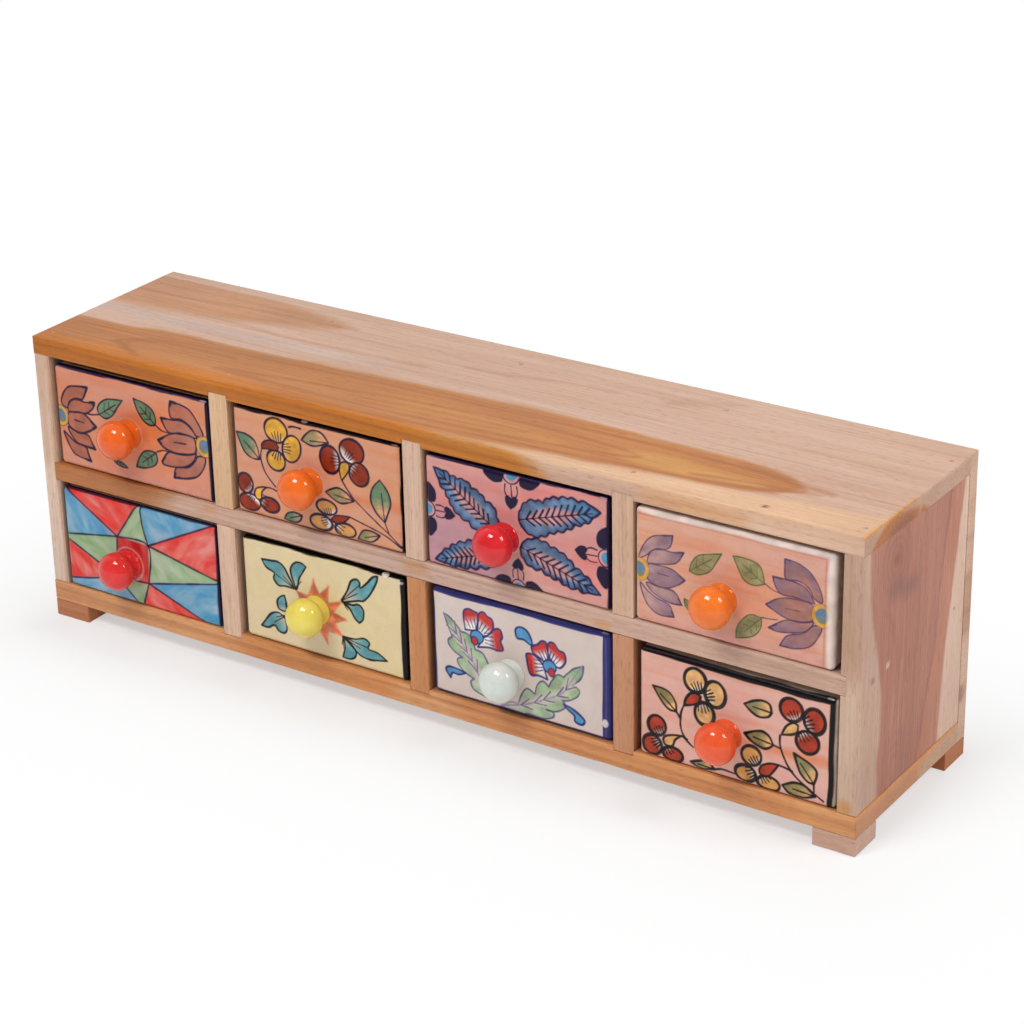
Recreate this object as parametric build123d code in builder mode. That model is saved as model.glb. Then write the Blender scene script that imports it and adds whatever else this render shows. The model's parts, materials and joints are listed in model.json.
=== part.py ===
from build123d import *
from math import acos, degrees, sin
import os

os.makedirs("parts", exist_ok=True)

# Cabinet: eight pockets in two rows between wooden boards (mm)
cabinet_length = 480
cabinet_depth = 114
cabinet_height = 160
top_thickness = 9.4
bottom_thickness = 11.2
side_thickness = 9.6
divider_thickness = 11.2
divider_shift = 1
shelf_thickness = 10.1
back_thickness = 8
board_lip = 0.3
board_rounding = 0.5
housing_depth = 2.5

# Feet: a small block under each corner
foot_length = 22
foot_depth = 21
foot_height = 9.5

# Brads: headed nails driven through one board into the next
brad_length = 25
brad_radius = 0.7
brad_point = 1.6
brad_head_radius = 1.3
brad_head_height = 0.8
brad_inset = 10
brad_clearance = 0.05
foot_brad_bite_share = 0.7
foot_brad_spread_share = 0.25

# Drawer boxes: glazed ceramic, open at the top, loose in their pockets
drawer_play = 4.4
drawer_head_gap = 2.5
drawer_setback = 2
drawer_slide_gap = 0.2
drawer_closing_gap = 0.3
drawer_front_wall = 6
drawer_wall = 4.5
drawer_floor = 5
drawer_rounding = 2.5
drawer_inner_rounding = 3
drawer_rim_rounding = 0.8
drawer_rim_share = 0.45

# Knobs: glazed ceramic turned forms with a base ring, a neck and a slightly flattened ball
knob_base_radius = 9.3
knob_base_height = 3
knob_neck_radius = 7.2
knob_head_radius = 10.4
knob_head_half_length = 8.4
knob_head_reach = 10.8
knob_blend = 0.9
knob_blend_share = 0.45

# Knob hardware: an M4 stud cemented into the knob, with a washer and a nut inside the drawer
stud_radius = 2
stud_socket_depth = 10
stud_clearance = 0.05
stud_hole_radius = 2.4
stud_tail = 1.5
washer_radius = 4.5
washer_hole_radius = 2.15
washer_thickness = 0.8
nut_across_flats = 7
nut_height = 3.2

# One overrun lets every cut pass the face that it opens
cut_overrun = 1

# The drawers are made by hand and no two sit alike. Each row of shares holds, in this order:
# sideways play, the part of that play on the left, head gap, setback,
# and the knob's place right of and above the middle of the front, in drawer widths and heights
drawer_shares = {
    "upper_drawer_1": (0.89, 0.38, 1.75, 0.80, -0.024, -0.015),
    "upper_drawer_2": (1.03, 0.47, 1.00, 0.90, -0.043, -0.052),
    "upper_drawer_3": (0.80, 0.39, 1.00, 0.50, -0.060, -0.082),
    "upper_drawer_4": (1.13, 0.17, 1.00, 0.25, -0.055, -0.119),
    "lower_drawer_1": (0.78, 0.41, 1.20, 0.15, -0.080, -0.110),
    "lower_drawer_2": (1.22, 0.50, 1.40, 1.05, -0.043, -0.043),
    "lower_drawer_3": (0.99, 0.46, 1.00, 1.10, -0.054, -0.128),
    "lower_drawer_4": (1.03, 0.63, 1.40, 0.50, -0.045, -0.091),
}

# Depth places: the knobs stand out in front, and the origin is under the middle of everything
setbacks = [drawer_setback * shares[3] for shares in drawer_shares.values()]
knob_projection = knob_head_reach + knob_head_half_length
knob_overhang = knob_projection - min(setbacks)
front_y = (knob_overhang - cabinet_depth) / 2
back_y = front_y + cabinet_depth
board_back_y = back_y - back_thickness
board_front_y = front_y + board_lip
columns = len(drawer_shares) // 2

# Length places: the sides stand a lip inside the ends of the top and bottom boards,
# and the dividers a little to the left of even spacing
half_length = cabinet_length / 2
side_outer_x = half_length - board_lip
side_inner_x = side_outer_x - side_thickness
even_width = (2 * side_inner_x - (columns - 1) * divider_thickness) / columns
even_pitch = even_width + divider_thickness
divider_lefts = [even_pitch * column - divider_thickness - side_inner_x for column in range(1, columns)]
divider_lefts = [left - divider_shift for left in divider_lefts]
column_lefts = [-side_inner_x] + [left + divider_thickness for left in divider_lefts]
column_rights = divider_lefts + [side_inner_x]

# Height places: feet, bottom board, lower row, shelf, upper row, top board
row_height = (cabinet_height - foot_height - bottom_thickness - shelf_thickness - top_thickness) / 2
bottom_top_z = foot_height + bottom_thickness
shelf_bottom_z = bottom_top_z + row_height
shelf_top_z = shelf_bottom_z + shelf_thickness
top_bottom_z = shelf_top_z + row_height
row_floors = {"upper": shelf_top_z, "lower": bottom_top_z}

# Boards: left, right, front, back, underside and upper side of each.
# The shelf is let into the sides, and the dividers into the top and bottom boards
across = (-half_length, half_length, front_y, board_back_y)
upright = (board_front_y, board_back_y)
shelf_end_x = side_inner_x + housing_depth
board_spans = {
    "top_board": (*across, top_bottom_z, cabinet_height),
    "bottom_board": (*across, foot_height, bottom_top_z),
    "left_side": (-side_outer_x, -side_inner_x, *upright, bottom_top_z, top_bottom_z),
    "right_side": (side_inner_x, side_outer_x, *upright, bottom_top_z, top_bottom_z),
    "back_panel": (-half_length, half_length, board_back_y, back_y, foot_height, cabinet_height),
    "shelf": (-shelf_end_x, shelf_end_x, *upright, shelf_bottom_z, shelf_top_z),
}
for number, left in enumerate(divider_lefts, start=1):
    sides = (left, left + divider_thickness)
    board_spans[f"upper_divider_{number}"] = (*sides, *upright, shelf_top_z, top_bottom_z + housing_depth)
    board_spans[f"lower_divider_{number}"] = (*sides, *upright, bottom_top_z - housing_depth, shelf_bottom_z)

# Housings: the shallow grooves that take the dividers and the ends of the shelf
groove_run = (front_y - cut_overrun, back_y)
top_groove = (*groove_run, top_bottom_z - cut_overrun, top_bottom_z + housing_depth)
bottom_groove = (*groove_run, bottom_top_z - housing_depth, bottom_top_z + cut_overrun)
shelf_groove = (*groove_run, shelf_bottom_z, shelf_top_z)
housings = {
    "top_board": [(left, left + divider_thickness, *top_groove) for left in divider_lefts],
    "bottom_board": [(left, left + divider_thickness, *bottom_groove) for left in divider_lefts],
    "left_side": [(-shelf_end_x, cut_overrun - side_inner_x, *shelf_groove)],
    "right_side": [(side_inner_x - cut_overrun, shelf_end_x, *shelf_groove)],
}

# Feet: flush with the front, the back and both ends
foot_lefts = {"left": -half_length, "right": half_length - foot_length}
foot_fronts = {"front": front_y, "back": back_y - foot_depth}
for depth_word, near in foot_fronts.items():
    for end_word, left in foot_lefts.items():
        span = (left, left + foot_length, near, near + foot_depth, 0, foot_height)
        board_spans[f"foot_{depth_word}_{end_word}"] = span

# Brad places: each head lies flush with the face that it is driven through
post_middles = [left + divider_thickness / 2 for left in divider_lefts]
side_middle_x = (side_inner_x + side_outer_x) / 2
post_middles += [-side_middle_x, side_middle_x]
column_middles = [(left + right) / 2 for left, right in zip(column_lefts, column_rights)]
shelf_middle_z = (shelf_bottom_z + shelf_top_z) / 2
near_and_far = (front_y + brad_inset, board_back_y - brad_inset)
clear_of_feet = (near_and_far[0] + foot_depth, near_and_far[1] - foot_depth)
facing_up = (0, 0, 0)
facing_down = (180, 0, 0)
facing_left = (0, -90, 0)
facing_right = (0, 90, 0)
facing_back = (-90, 0, 0)
row_middles = [floor + row_height / 2 for floor in row_floors.values()]
top_middle_z = (top_bottom_z + cabinet_height) / 2
bottom_middle_z = (foot_height + bottom_top_z) / 2

carcass_brad_places = []
for x in post_middles:
    carcass_brad_places += [Location((x, y, cabinet_height), facing_up) for y in near_and_far]
    carcass_brad_places += [Location((x, y, foot_height), facing_down) for y in clear_of_feet]
for y in near_and_far:
    carcass_brad_places.append(Location((-side_outer_x, y, shelf_middle_z), facing_left))
    carcass_brad_places.append(Location((side_outer_x, y, shelf_middle_z), facing_right))
for z in (bottom_middle_z, shelf_middle_z, top_middle_z):
    carcass_brad_places += [Location((x, back_y, z), facing_back) for x in column_middles]
for z in row_middles:
    carcass_brad_places.append(Location((-side_middle_x, back_y, z), facing_back))
    carcass_brad_places.append(Location((side_middle_x, back_y, z), facing_back))

foot_brad_length = foot_height + bottom_thickness * foot_brad_bite_share
foot_brad_spread = foot_length * foot_brad_spread_share
foot_brad_ys = (front_y + foot_depth / 2, board_back_y - (foot_depth - back_thickness) / 2)
foot_brad_places = []
for left in foot_lefts.values():
    for spread in (-foot_brad_spread, foot_brad_spread):
        x = left + foot_length / 2 + spread
        foot_brad_places += [Location((x, y, 0), facing_down) for y in foot_brad_ys]


def block(span, mode=Mode.ADD):
    """Add or cut a plain block given by its left, right, front, back, underside and upper side."""
    left, right, near, far, low, high = span
    with Locations((left, near, low)):
        Box(right - left, far - near, high - low, align=(Align.MIN, Align.MIN, Align.MIN), mode=mode)


def make_brad(length, clearance, head_cover):
    """Return a nail along Z, the top of its head at the origin, grown by a clearance where it is a hole."""
    shank = brad_radius + clearance
    head = brad_head_radius + clearance
    tip = -length - clearance
    with BuildPart() as brad:
        with BuildSketch(Plane.XZ):
            with BuildLine():
                Polyline(
                    (0, head_cover),
                    (head, head_cover),
                    (head, -brad_head_height - clearance),
                    (shank, -brad_head_height - clearance),
                    (shank, tip + brad_point),
                    (0, tip),
                    close=True,
                )
            make_face()
        revolve(axis=Axis.Z)
    return brad.part


# Nails and the holes that they leave in the boards
carcass_brad = make_brad(brad_length, 0, 0)
foot_brad = make_brad(foot_brad_length, 0, 0)
carcass_hole = make_brad(brad_length, brad_clearance, cut_overrun)
foot_hole = make_brad(foot_brad_length, brad_clearance, cut_overrun)

with BuildPart() as carcass_brads:
    with Locations(*carcass_brad_places):
        add(carcass_brad)
carcass_brads.part.label = "carcass_brads"
export_step(carcass_brads.part, "parts/carcass_brads.step")

with BuildPart() as foot_brads:
    with Locations(*foot_brad_places):
        add(foot_brad)
foot_brads.part.label = "foot_brads"
export_step(foot_brads.part, "parts/foot_brads.step")

with BuildPart() as brad_holes:
    with Locations(*carcass_brad_places):
        add(carcass_hole)
    with Locations(*foot_brad_places):
        add(foot_hole)

# Boards and feet: sawn blocks with eased edges, grooved, and drilled by the brads that pass through
for label, span in board_spans.items():
    with BuildPart() as board:
        block(span)
        fillet(board.edges(), radius=board_rounding)
        for groove in housings.get(label, []):
            block(groove, mode=Mode.SUBTRACT)
        add(brad_holes.part, mode=Mode.SUBTRACT)
    board.part.label = label
    export_step(board.part, f"parts/{label}.step")

# Roundings that the wall or the ledge beside them limits
rim_radius = min(drawer_rim_rounding, (drawer_wall - drawer_rounding) * drawer_rim_share)
knob_ledge = min(knob_base_radius - knob_neck_radius, knob_base_height)
knob_blend_radius = min(knob_blend, knob_ledge * knob_blend_share)

# The angle and the height at which the knob's ball leaves its neck
head_angle = acos(knob_neck_radius / knob_head_radius)
head_start = knob_head_reach - knob_head_half_length * sin(head_angle)

# Drawers: each is placed by its pocket and by its own shares
for name, shares in drawer_shares.items():
    play_share, left_share, head_share, setback_share, right_share, raise_share = shares
    row, number = name.split("_drawer_")
    column = int(number) - 1
    play = drawer_play * play_share
    left = column_lefts[column] + play * left_share
    right = column_rights[column] - play + play * left_share
    face_y = front_y + drawer_setback * setback_share
    back = board_back_y - drawer_closing_gap
    low = row_floors[row] + drawer_slide_gap
    high = row_floors[row] + row_height - drawer_head_gap * head_share
    hollow_sides = (left + drawer_wall, right - drawer_wall, face_y + drawer_front_wall, back - drawer_wall)
    knob_x = (left + right) / 2 + (right - left) * right_share
    knob_z = (low + high) / 2 + (high - low) * raise_share
    knob_foot = (knob_x, face_y, knob_z)
    front_plane = Plane(knob_foot, x_dir=(1, 0, 0), z_dir=(0, -1, 0))
    profile_plane = Plane(knob_foot, x_dir=(1, 0, 0), z_dir=(0, 0, -1))
    inner_plane = front_plane.offset(-drawer_front_wall)

    # The hollow of the box, open upwards
    with BuildPart() as hollow:
        block((*hollow_sides, low + drawer_floor, high + cut_overrun))
        hollow_edges = hollow.edges().filter_by(Axis.Z) + hollow.edges().group_by(Axis.Z)[0]
        fillet(hollow_edges, radius=drawer_inner_rounding)

    # The box, its outer edges rounded as the glaze leaves them
    with BuildPart() as drawer_box:
        block((left, right, face_y, back, low, high))
        fillet(drawer_box.edges(), radius=drawer_rounding)
        add(hollow.part, mode=Mode.SUBTRACT)
        rim_face = drawer_box.faces().filter_by(Plane.XY).sort_by(Axis.Z)[-1]
        fillet(rim_face.inner_wires()[0].edges(), radius=rim_radius)
        with BuildSketch(front_plane):
            Circle(stud_hole_radius)
        extrude(amount=drawer_front_wall + cut_overrun, both=True, mode=Mode.SUBTRACT)
    drawer_box.part.label = f"{name}_box"
    export_step(drawer_box.part, f"parts/{name}_box.step")

    # The knob, turned about the stud's axis
    with BuildPart() as knob:
        with BuildSketch(profile_plane):
            with BuildLine():
                Polyline(
                    (0, knob_projection),
                    (0, 0),
                    (knob_base_radius, 0),
                    (knob_base_radius, knob_base_height),
                    (knob_neck_radius, knob_base_height),
                    (knob_neck_radius, head_start),
                )
                EllipticalCenterArc(
                    (0, knob_head_reach),
                    knob_head_radius,
                    knob_head_half_length,
                    start_angle=-degrees(head_angle),
                    arc_size=degrees(head_angle) + 90,
                )
            make_face()
        revolve(axis=Axis(knob_foot, (0, -1, 0)))
        fillet(knob.edges().filter_by(GeomType.CIRCLE), radius=knob_blend_radius)
        with BuildSketch(front_plane):
            Circle(stud_radius + stud_clearance)
        extrude(amount=stud_socket_depth + stud_clearance, mode=Mode.SUBTRACT)
    knob.part.label = f"{name}_knob"
    export_step(knob.part, f"parts/{name}_knob.step")

    # The stud, from its socket in the knob to past the nut
    with BuildPart() as stud:
        with BuildSketch(front_plane.offset(stud_socket_depth)):
            Circle(stud_radius)
        extrude(amount=-stud_socket_depth - drawer_front_wall - washer_thickness - nut_height - stud_tail)
    stud.part.label = f"{name}_stud"
    export_step(stud.part, f"parts/{name}_stud.step")

    # The washer, against the inside of the front
    with BuildPart() as washer:
        with BuildSketch(inner_plane):
            Circle(washer_radius)
            Circle(washer_hole_radius, mode=Mode.SUBTRACT)
        extrude(amount=-washer_thickness)
    washer.part.label = f"{name}_washer"
    export_step(washer.part, f"parts/{name}_washer.step")

    # The nut, against the washer
    with BuildPart() as nut:
        with BuildSketch(inner_plane.offset(-washer_thickness)):
            RegularPolygon(nut_across_flats / 2, side_count=6, major_radius=False)
            Circle(stud_radius + stud_clearance, mode=Mode.SUBTRACT)
        extrude(amount=-nut_height)
    nut.part.label = f"{name}_nut"
    export_step(nut.part, f"parts/{name}_nut.step")
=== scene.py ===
"""Looks of a small wooden cabinet with eight painted ceramic drawers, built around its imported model."""

import json
import logging
import math
from dataclasses import dataclass, field
from enum import Enum
from typing import ClassVar

import bpy
import numpy as np
from mathutils import Matrix, Vector


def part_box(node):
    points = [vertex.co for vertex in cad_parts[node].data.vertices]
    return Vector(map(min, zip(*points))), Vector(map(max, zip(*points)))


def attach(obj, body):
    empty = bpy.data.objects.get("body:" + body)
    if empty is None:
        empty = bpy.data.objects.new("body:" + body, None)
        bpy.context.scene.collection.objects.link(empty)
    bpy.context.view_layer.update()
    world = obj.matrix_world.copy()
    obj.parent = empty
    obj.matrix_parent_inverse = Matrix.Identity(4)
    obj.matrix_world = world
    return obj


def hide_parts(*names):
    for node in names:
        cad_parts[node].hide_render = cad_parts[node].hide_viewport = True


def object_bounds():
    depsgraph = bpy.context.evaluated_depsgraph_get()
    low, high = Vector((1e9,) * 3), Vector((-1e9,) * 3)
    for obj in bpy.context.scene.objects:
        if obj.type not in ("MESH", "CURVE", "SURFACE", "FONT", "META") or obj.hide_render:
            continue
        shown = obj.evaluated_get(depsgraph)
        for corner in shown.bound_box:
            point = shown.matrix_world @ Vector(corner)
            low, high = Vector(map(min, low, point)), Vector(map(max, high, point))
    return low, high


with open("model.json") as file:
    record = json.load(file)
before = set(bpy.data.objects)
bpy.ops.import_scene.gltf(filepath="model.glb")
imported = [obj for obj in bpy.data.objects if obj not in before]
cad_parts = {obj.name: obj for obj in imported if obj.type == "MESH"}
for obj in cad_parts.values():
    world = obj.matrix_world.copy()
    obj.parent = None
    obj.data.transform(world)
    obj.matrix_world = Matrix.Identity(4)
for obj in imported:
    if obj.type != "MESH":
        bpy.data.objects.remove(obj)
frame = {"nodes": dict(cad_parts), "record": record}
cad_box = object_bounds()

log = logging.getLogger("cabinet")

MM = 0.001
SKETCH = 12.0  # sketch units to a millimetre on the drawer fronts
TINY = 1e-6

Array = np.ndarray
Colour = tuple[int, int, int]
Place = tuple[float, float, float]
# A mark is a point of a sketch: right, down, and a third number where the line turns a sharp corner
Mark = tuple[float, ...] | Array
Line = list[Mark]
# A sketch is a line's marks, or a text of right,down pairs with a star after a sharp corner
Sketch = str | Line
Socket = bpy.types.NodeSocket
Tree = bpy.types.NodeTree
Material = bpy.types.Material
Piece = bpy.types.Object
Wires = dict[str | int, object]


class Ink(Enum):
    """Underglaze colours of the drawer fronts, as they look when fired."""

    BLACK = (8, 5, 8)
    INDIGO = (20, 10, 46)
    DENIM = (58, 76, 120)
    COBALT = (42, 42, 108)
    VIOLET = (104, 84, 126)
    PLUM = (76, 54, 88)
    FERN = (66, 84, 50)
    HEATHER = (186, 148, 142)
    TAUPE = (156, 106, 96)
    DUSK = (126, 100, 122)
    MAUVE = (186, 124, 110)
    LILAC = (150, 134, 170)
    UMBER = (164, 94, 74)
    BROWN = (138, 46, 20)
    RUSSET = (164, 56, 36)
    YELLOW = (216, 160, 56)
    OCHRE = (202, 146, 82)
    BUFF = (220, 170, 112)
    LEMON = (226, 208, 144)
    LEAF = (92, 128, 94)
    SAGE = (138, 132, 88)
    OLIVE = (126, 116, 68)
    MOSS = (136, 170, 118)
    PALE_GREEN = (172, 190, 162)
    TEAL = (86, 146, 156)
    SKY = (80, 142, 184)
    BLUE = (70, 146, 190)
    PALE_BLUE = (140, 174, 196)
    SLATE = (98, 122, 152)
    RED = (224, 54, 46)
    BRICK = (192, 56, 50)
    PALE_RED = (230, 134, 126)
    CRIMSON = (190, 36, 38)
    CORAL = (208, 118, 82)
    ORANGE = (216, 112, 62)
    PEACH = (214, 152, 116)
    ROSE = (206, 148, 144)
    CREAM = (214, 196, 178)
    WHITE = (226, 216, 210)


class Grain(Enum):
    """The axis that a board's fibres run along."""

    LENGTH = 0
    DEPTH = 1
    HEIGHT = 2


Dye = Ink | Colour


def pigment(dye: Dye) -> Array:
    """Give an ink or a colour as three numbers from 0 to 255."""
    return np.array(dye.value if isinstance(dye, Ink) else dye, float)


def to_linear(display: Array) -> Array:
    """Turn values from 0 to 1, as a screen shows them, into linear light."""
    return np.where(display <= 0.04045, display / 12.92, ((display + 0.055) / 1.055) ** 2.4)


def shade(colour: Colour) -> tuple[float, ...]:
    """Give a shader socket's value: linear red, green and blue with full alpha."""
    return (*to_linear(pigment(colour) / 255).tolist(), 1.0)


def point(mark: Mark) -> Array:
    """Give a mark's place without its corner number."""
    return np.array(mark[:2], float)


def corners(outline: Line) -> list[Array]:
    """List the places of an outline's sharp corners."""
    return [point(mark) for mark in outline if len(mark) == 3]


def aside(run: Array) -> Array:
    """Turn a direction a quarter round."""
    return np.array([-run[1], run[0]])


class Field:
    """A smooth random field on a plane, the same on every run."""

    SIZE = 64

    def __init__(self, seed: int) -> None:
        """Fill the lattice from the seed."""
        self.table = np.random.default_rng(seed).random((self.SIZE, self.SIZE)) * 2 - 1

    def at(self, u: Array, v: Array) -> Array:
        """Read the field.

        Args:
            u: places along the first direction, one lattice step to a unit.
            v: places along the second direction.

        Returns:
            Values from -1 to 1.
        """
        i = np.floor(u).astype(int)
        j = np.floor(v).astype(int)
        a = u - i
        b = v - j
        a = a * a * (3 - 2 * a)
        b = b * b * (3 - 2 * b)
        i, j, n = i % self.SIZE, j % self.SIZE, self.SIZE
        near = self.table[i, j] * (1 - a) + self.table[(i + 1) % n, j] * a
        far = self.table[i, (j + 1) % n] * (1 - a) + self.table[(i + 1) % n, (j + 1) % n] * a
        return near * (1 - b) + far * b

    def cloud(self, u: Array, v: Array) -> Array:
        """Read three layers of the field, each finer and weaker than the last.

        Args:
            u: places along the first direction.
            v: places along the second direction.

        Returns:
            Values from about -1 to 1.
        """
        middle = self.at(2.1 * u + 7.3, 2.1 * v + 1.7)
        fine = self.at(4.3 * u + 3.1, 4.3 * v + 9.2)
        return (self.at(u, v) + 0.5 * middle + 0.25 * fine) / 1.4


def marks(sketch: Sketch) -> Line:
    """Read a sketched line.

    Args:
        sketch: the line as text, or marks that are passed on as they are.

    Returns:
        The marks in order.
    """
    if not isinstance(sketch, str):
        return sketch
    found = []
    for pair in sketch.split():
        right, down = pair.rstrip("*").split(",")
        corner = (1.0,) if pair.endswith("*") else ()
        found.append((float(right), float(down), *corner))
    return found


def paths(text: str) -> list[Line]:
    """Read several sketched lines with semicolons between them."""
    return [marks(line) for line in text.split(";")]


def flow(sketch: Sketch, closed: bool, steps: int = 6) -> Array:
    """Draw a smooth line through marks.

    Args:
        sketch: the marks; one with a third number is a sharp corner.
        closed: whether the line returns to its start.
        steps: straight runs between two marks.

    Returns:
        The line's points, one row each.
    """
    knots = []
    for mark in marks(sketch):
        knots += [mark[:2]] * (2 if len(mark) == 3 else 1)
    knots = np.array(knots, float)
    count = len(knots)
    share = (np.arange(steps) / steps)[:, None]
    spans = []
    for i in range(count if closed else count - 1):
        around = [k % count if closed else min(max(k, 0), count - 1) for k in range(i - 1, i + 3)]
        before, start, end, after = knots[around]
        if np.allclose(start, end):
            continue
        leave = (end - before) / 2
        arrive = (after - start) / 2
        rise = 3 * (end - start) - 2 * leave - arrive
        ease = 2 * (start - end) + leave + arrive
        spans.append(start + share * (leave + share * (rise + share * ease)))
    if not closed:
        spans.append(knots[-1:])
    return np.concatenate(spans)


def ring(centre: Mark, radii: Mark, turn: float = 0.0, count: int = 10) -> Line:
    """Lay marks round an ellipse.

    Args:
        centre: its middle.
        radii: its half width and half height before it is turned.
        turn: the turn in degrees, clockwise as drawn.
        count: the number of marks.

    Returns:
        The marks in order.
    """
    tilt = math.radians(turn)
    laid = []
    for step in range(count):
        angle = 2 * math.pi * step / count
        x = radii[0] * math.cos(angle)
        y = radii[1] * math.sin(angle)
        right = centre[0] + x * math.cos(tilt) - y * math.sin(tilt)
        laid.append((right, centre[1] + x * math.sin(tilt) + y * math.cos(tilt)))
    return laid


@dataclass(kw_only=True)
class Canvas:
    """The points of a surface, with colours laid over them in order as a brush would."""

    BLOCK: ClassVar[int] = 20000  # points that are measured at a time
    ground: Colour

    def spread(self, right: Array, down: Array, seed: int) -> None:
        """Cover every point with the ground colour.

        Args:
            right: places of the points along the surface.
            down: places across it.
            seed: makes the waver of the hand its own.
        """
        self.right = right
        self.down = down
        self.colour = np.tile(pigment(self.ground), (len(right), 1))
        self.hand = Field(seed)

    def near(self, path: Array, reach: float) -> Array:
        """Find the points round a path.

        Args:
            path: the path's points.
            reach: how far outside the path's box to look.

        Returns:
            Indices of the points.
        """
        low = path.min(0) - reach
        high = path.max(0) + reach
        across = (self.right > low[0]) & (self.right < high[0])
        return np.flatnonzero(across & (self.down > low[1]) & (self.down < high[1]))

    def measure(self, chosen: Array, path: Array, closed: bool) -> Array:
        """Measure how far points are from a path.

        Args:
            chosen: indices of the points.
            path: the path's points.
            closed: whether the path is an outline; inside it the distance is negative.

        Returns:
            The distances.
        """
        start = path if closed else path[:-1]
        end = np.roll(path, -1, axis=0) if closed else path[1:]
        run = end - start
        squared = np.maximum((run**2).sum(1), 1e-9)
        parts = []
        for first in range(0, len(chosen), self.BLOCK):
            some = chosen[first : first + self.BLOCK]
            x = self.right[some][:, None] - start[None, :, 0]
            y = self.down[some][:, None] - start[None, :, 1]
            along = np.clip((x * run[:, 0] + y * run[:, 1]) / squared, 0, 1)
            gap = np.hypot(x - along * run[:, 0], y - along * run[:, 1]).min(1)
            if closed:
                passes = (y >= 0) != (y - run[:, 1] >= 0)
                slope = np.where(run[:, 1] == 0, 1e-9, run[:, 1])
                crossed = passes & (x < y * run[:, 0] / slope)
                gap = np.where(crossed.sum(1) % 2 == 1, -gap, gap)
            parts.append(gap)
        return np.concatenate(parts) if parts else np.zeros(0)

    def lay(self, chosen: Array | slice, cover: Array, ink: Array) -> None:
        """Blend a share of one colour, or of a colour for each point, over the chosen points."""
        self.colour[chosen] += (ink - self.colour[chosen]) * cover[:, None]

    def fill(
        self, outline: Sketch, ink: Dye, tip: Ink | None = None, toward: tuple[Mark, Mark] | None = None,
        soft: float = 6.0, cover: float = 1.0, uneven: float = 0.1, brush: float | None = None,
        inset: float = 0.0,
    ) -> None:
        """Fill an outline, as one stroke of a loaded brush.

        Args:
            outline: the outline.
            ink: the colour.
            tip: a second colour that the first runs into.
            toward: where the first colour is pure and where the second is.
            soft: how wide the edge is.
            cover: how much of the colour is taken at the middle.
            uneven: how much the colour pools and thins.
            brush: the way that a dry brush leaves streaks, in degrees.
            inset: how far inside the outline the colour ends.
        """
        path = flow(outline, closed=True)
        chosen = self.near(path, 2 * soft)
        if not len(chosen):
            return
        gap = self.measure(chosen, path, closed=True)
        right, down = self.right[chosen], self.down[chosen]
        gap = gap + self.hand.at(right / (5 * soft), down / (5 * soft)) * soft * 0.3
        amount = np.clip(0.5 - (gap + inset) / soft, 0, 1) * cover
        if brush is not None:
            turn = math.radians(brush)
            stroke = right * math.cos(turn) + down * math.sin(turn)
            beside = down * math.cos(turn) - right * math.sin(turn)
            amount *= np.clip(0.35 + 1.1 * self.hand.cloud(stroke / 210 + 3, beside / 62 + 8), 0, 1)
        colour = np.tile(pigment(ink), (len(chosen), 1))
        pool = self.hand.cloud(right / 55 + 11, down / 40 + 5)
        if tip is not None:
            start, end = (point(mark) for mark in toward)
            run = end - start
            share = ((right - start[0]) * run[0] + (down - start[1]) * run[1]) / (run @ run)
            share = np.clip(share + 0.25 * pool, 0, 1)
            colour += (pigment(tip) - colour) * share[:, None]
        self.lay(chosen, amount, colour * (1 + uneven * pool[:, None]))

    def line(
        self, path: Sketch, ink: Dye, width: float, soft: float = 4.0, cover: float = 0.95,
        closed: bool = False,
    ) -> None:
        """Draw a line whose width wavers as a hand does.

        Args:
            path: the line.
            ink: the colour.
            width: the mean width.
            soft: how wide its edge is.
            cover: how much of the colour is taken.
            closed: whether the line returns to its start.
        """
        smooth = flow(path, closed)
        chosen = self.near(smooth, width + soft)
        if not len(chosen):
            return
        gap = np.abs(self.measure(chosen, smooth, closed))
        right, down = self.right[chosen], self.down[chosen]
        waver = self.hand.at(right / (4 * width) + 3, down / (4 * width) + 17)
        amount = np.clip(0.5 - (gap - width / 2 * (1 + 0.3 * waver)) / soft, 0, 1)
        thin = 0.9 + 0.1 * self.hand.at(right / 30 + 31, down / 30 + 2)
        self.lay(chosen, amount * cover * thin, pigment(ink))

    def wash(self, ink: Dye, size: tuple[float, float], cover: float, shift: float = 0.0) -> None:
        """Let a colour come and go in patches of some length and height; a shift moves the patches."""
        patch = self.hand.cloud(self.right / size[0] + shift, self.down / size[1] + shift)
        self.lay(slice(None), np.clip(patch * 0.9 + 0.1, 0, 1) * cover, pigment(ink))

    def beyond(self, edge: Array, ink: Ink, soft: float = 4.0, cover: float = 0.96) -> None:
        """Cover every point past an edge, as for a painted border.

        Args:
            edge: how far each point is past the edge; negative inside.
            ink: the colour.
            soft: how wide the border's own edge is.
            cover: how much of the colour is taken.
        """
        waver = self.hand.at(self.right / 170 + 23, self.down / 170 + 41) * 6
        amount = np.clip(0.5 + (edge + waver) / soft, 0, 1) * cover
        brush = 1 + 0.08 * self.hand.at(self.right / 50 + 5, self.down / 50 + 9)
        self.lay(slice(None), amount, pigment(ink) * brush[:, None])

    def linear(self) -> Array:
        """Give the colours in linear light with full alpha, one row to a point."""
        display = np.clip(self.colour / 255, 0, 1)
        return np.hstack([to_linear(display), np.ones((len(display), 1))])


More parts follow.
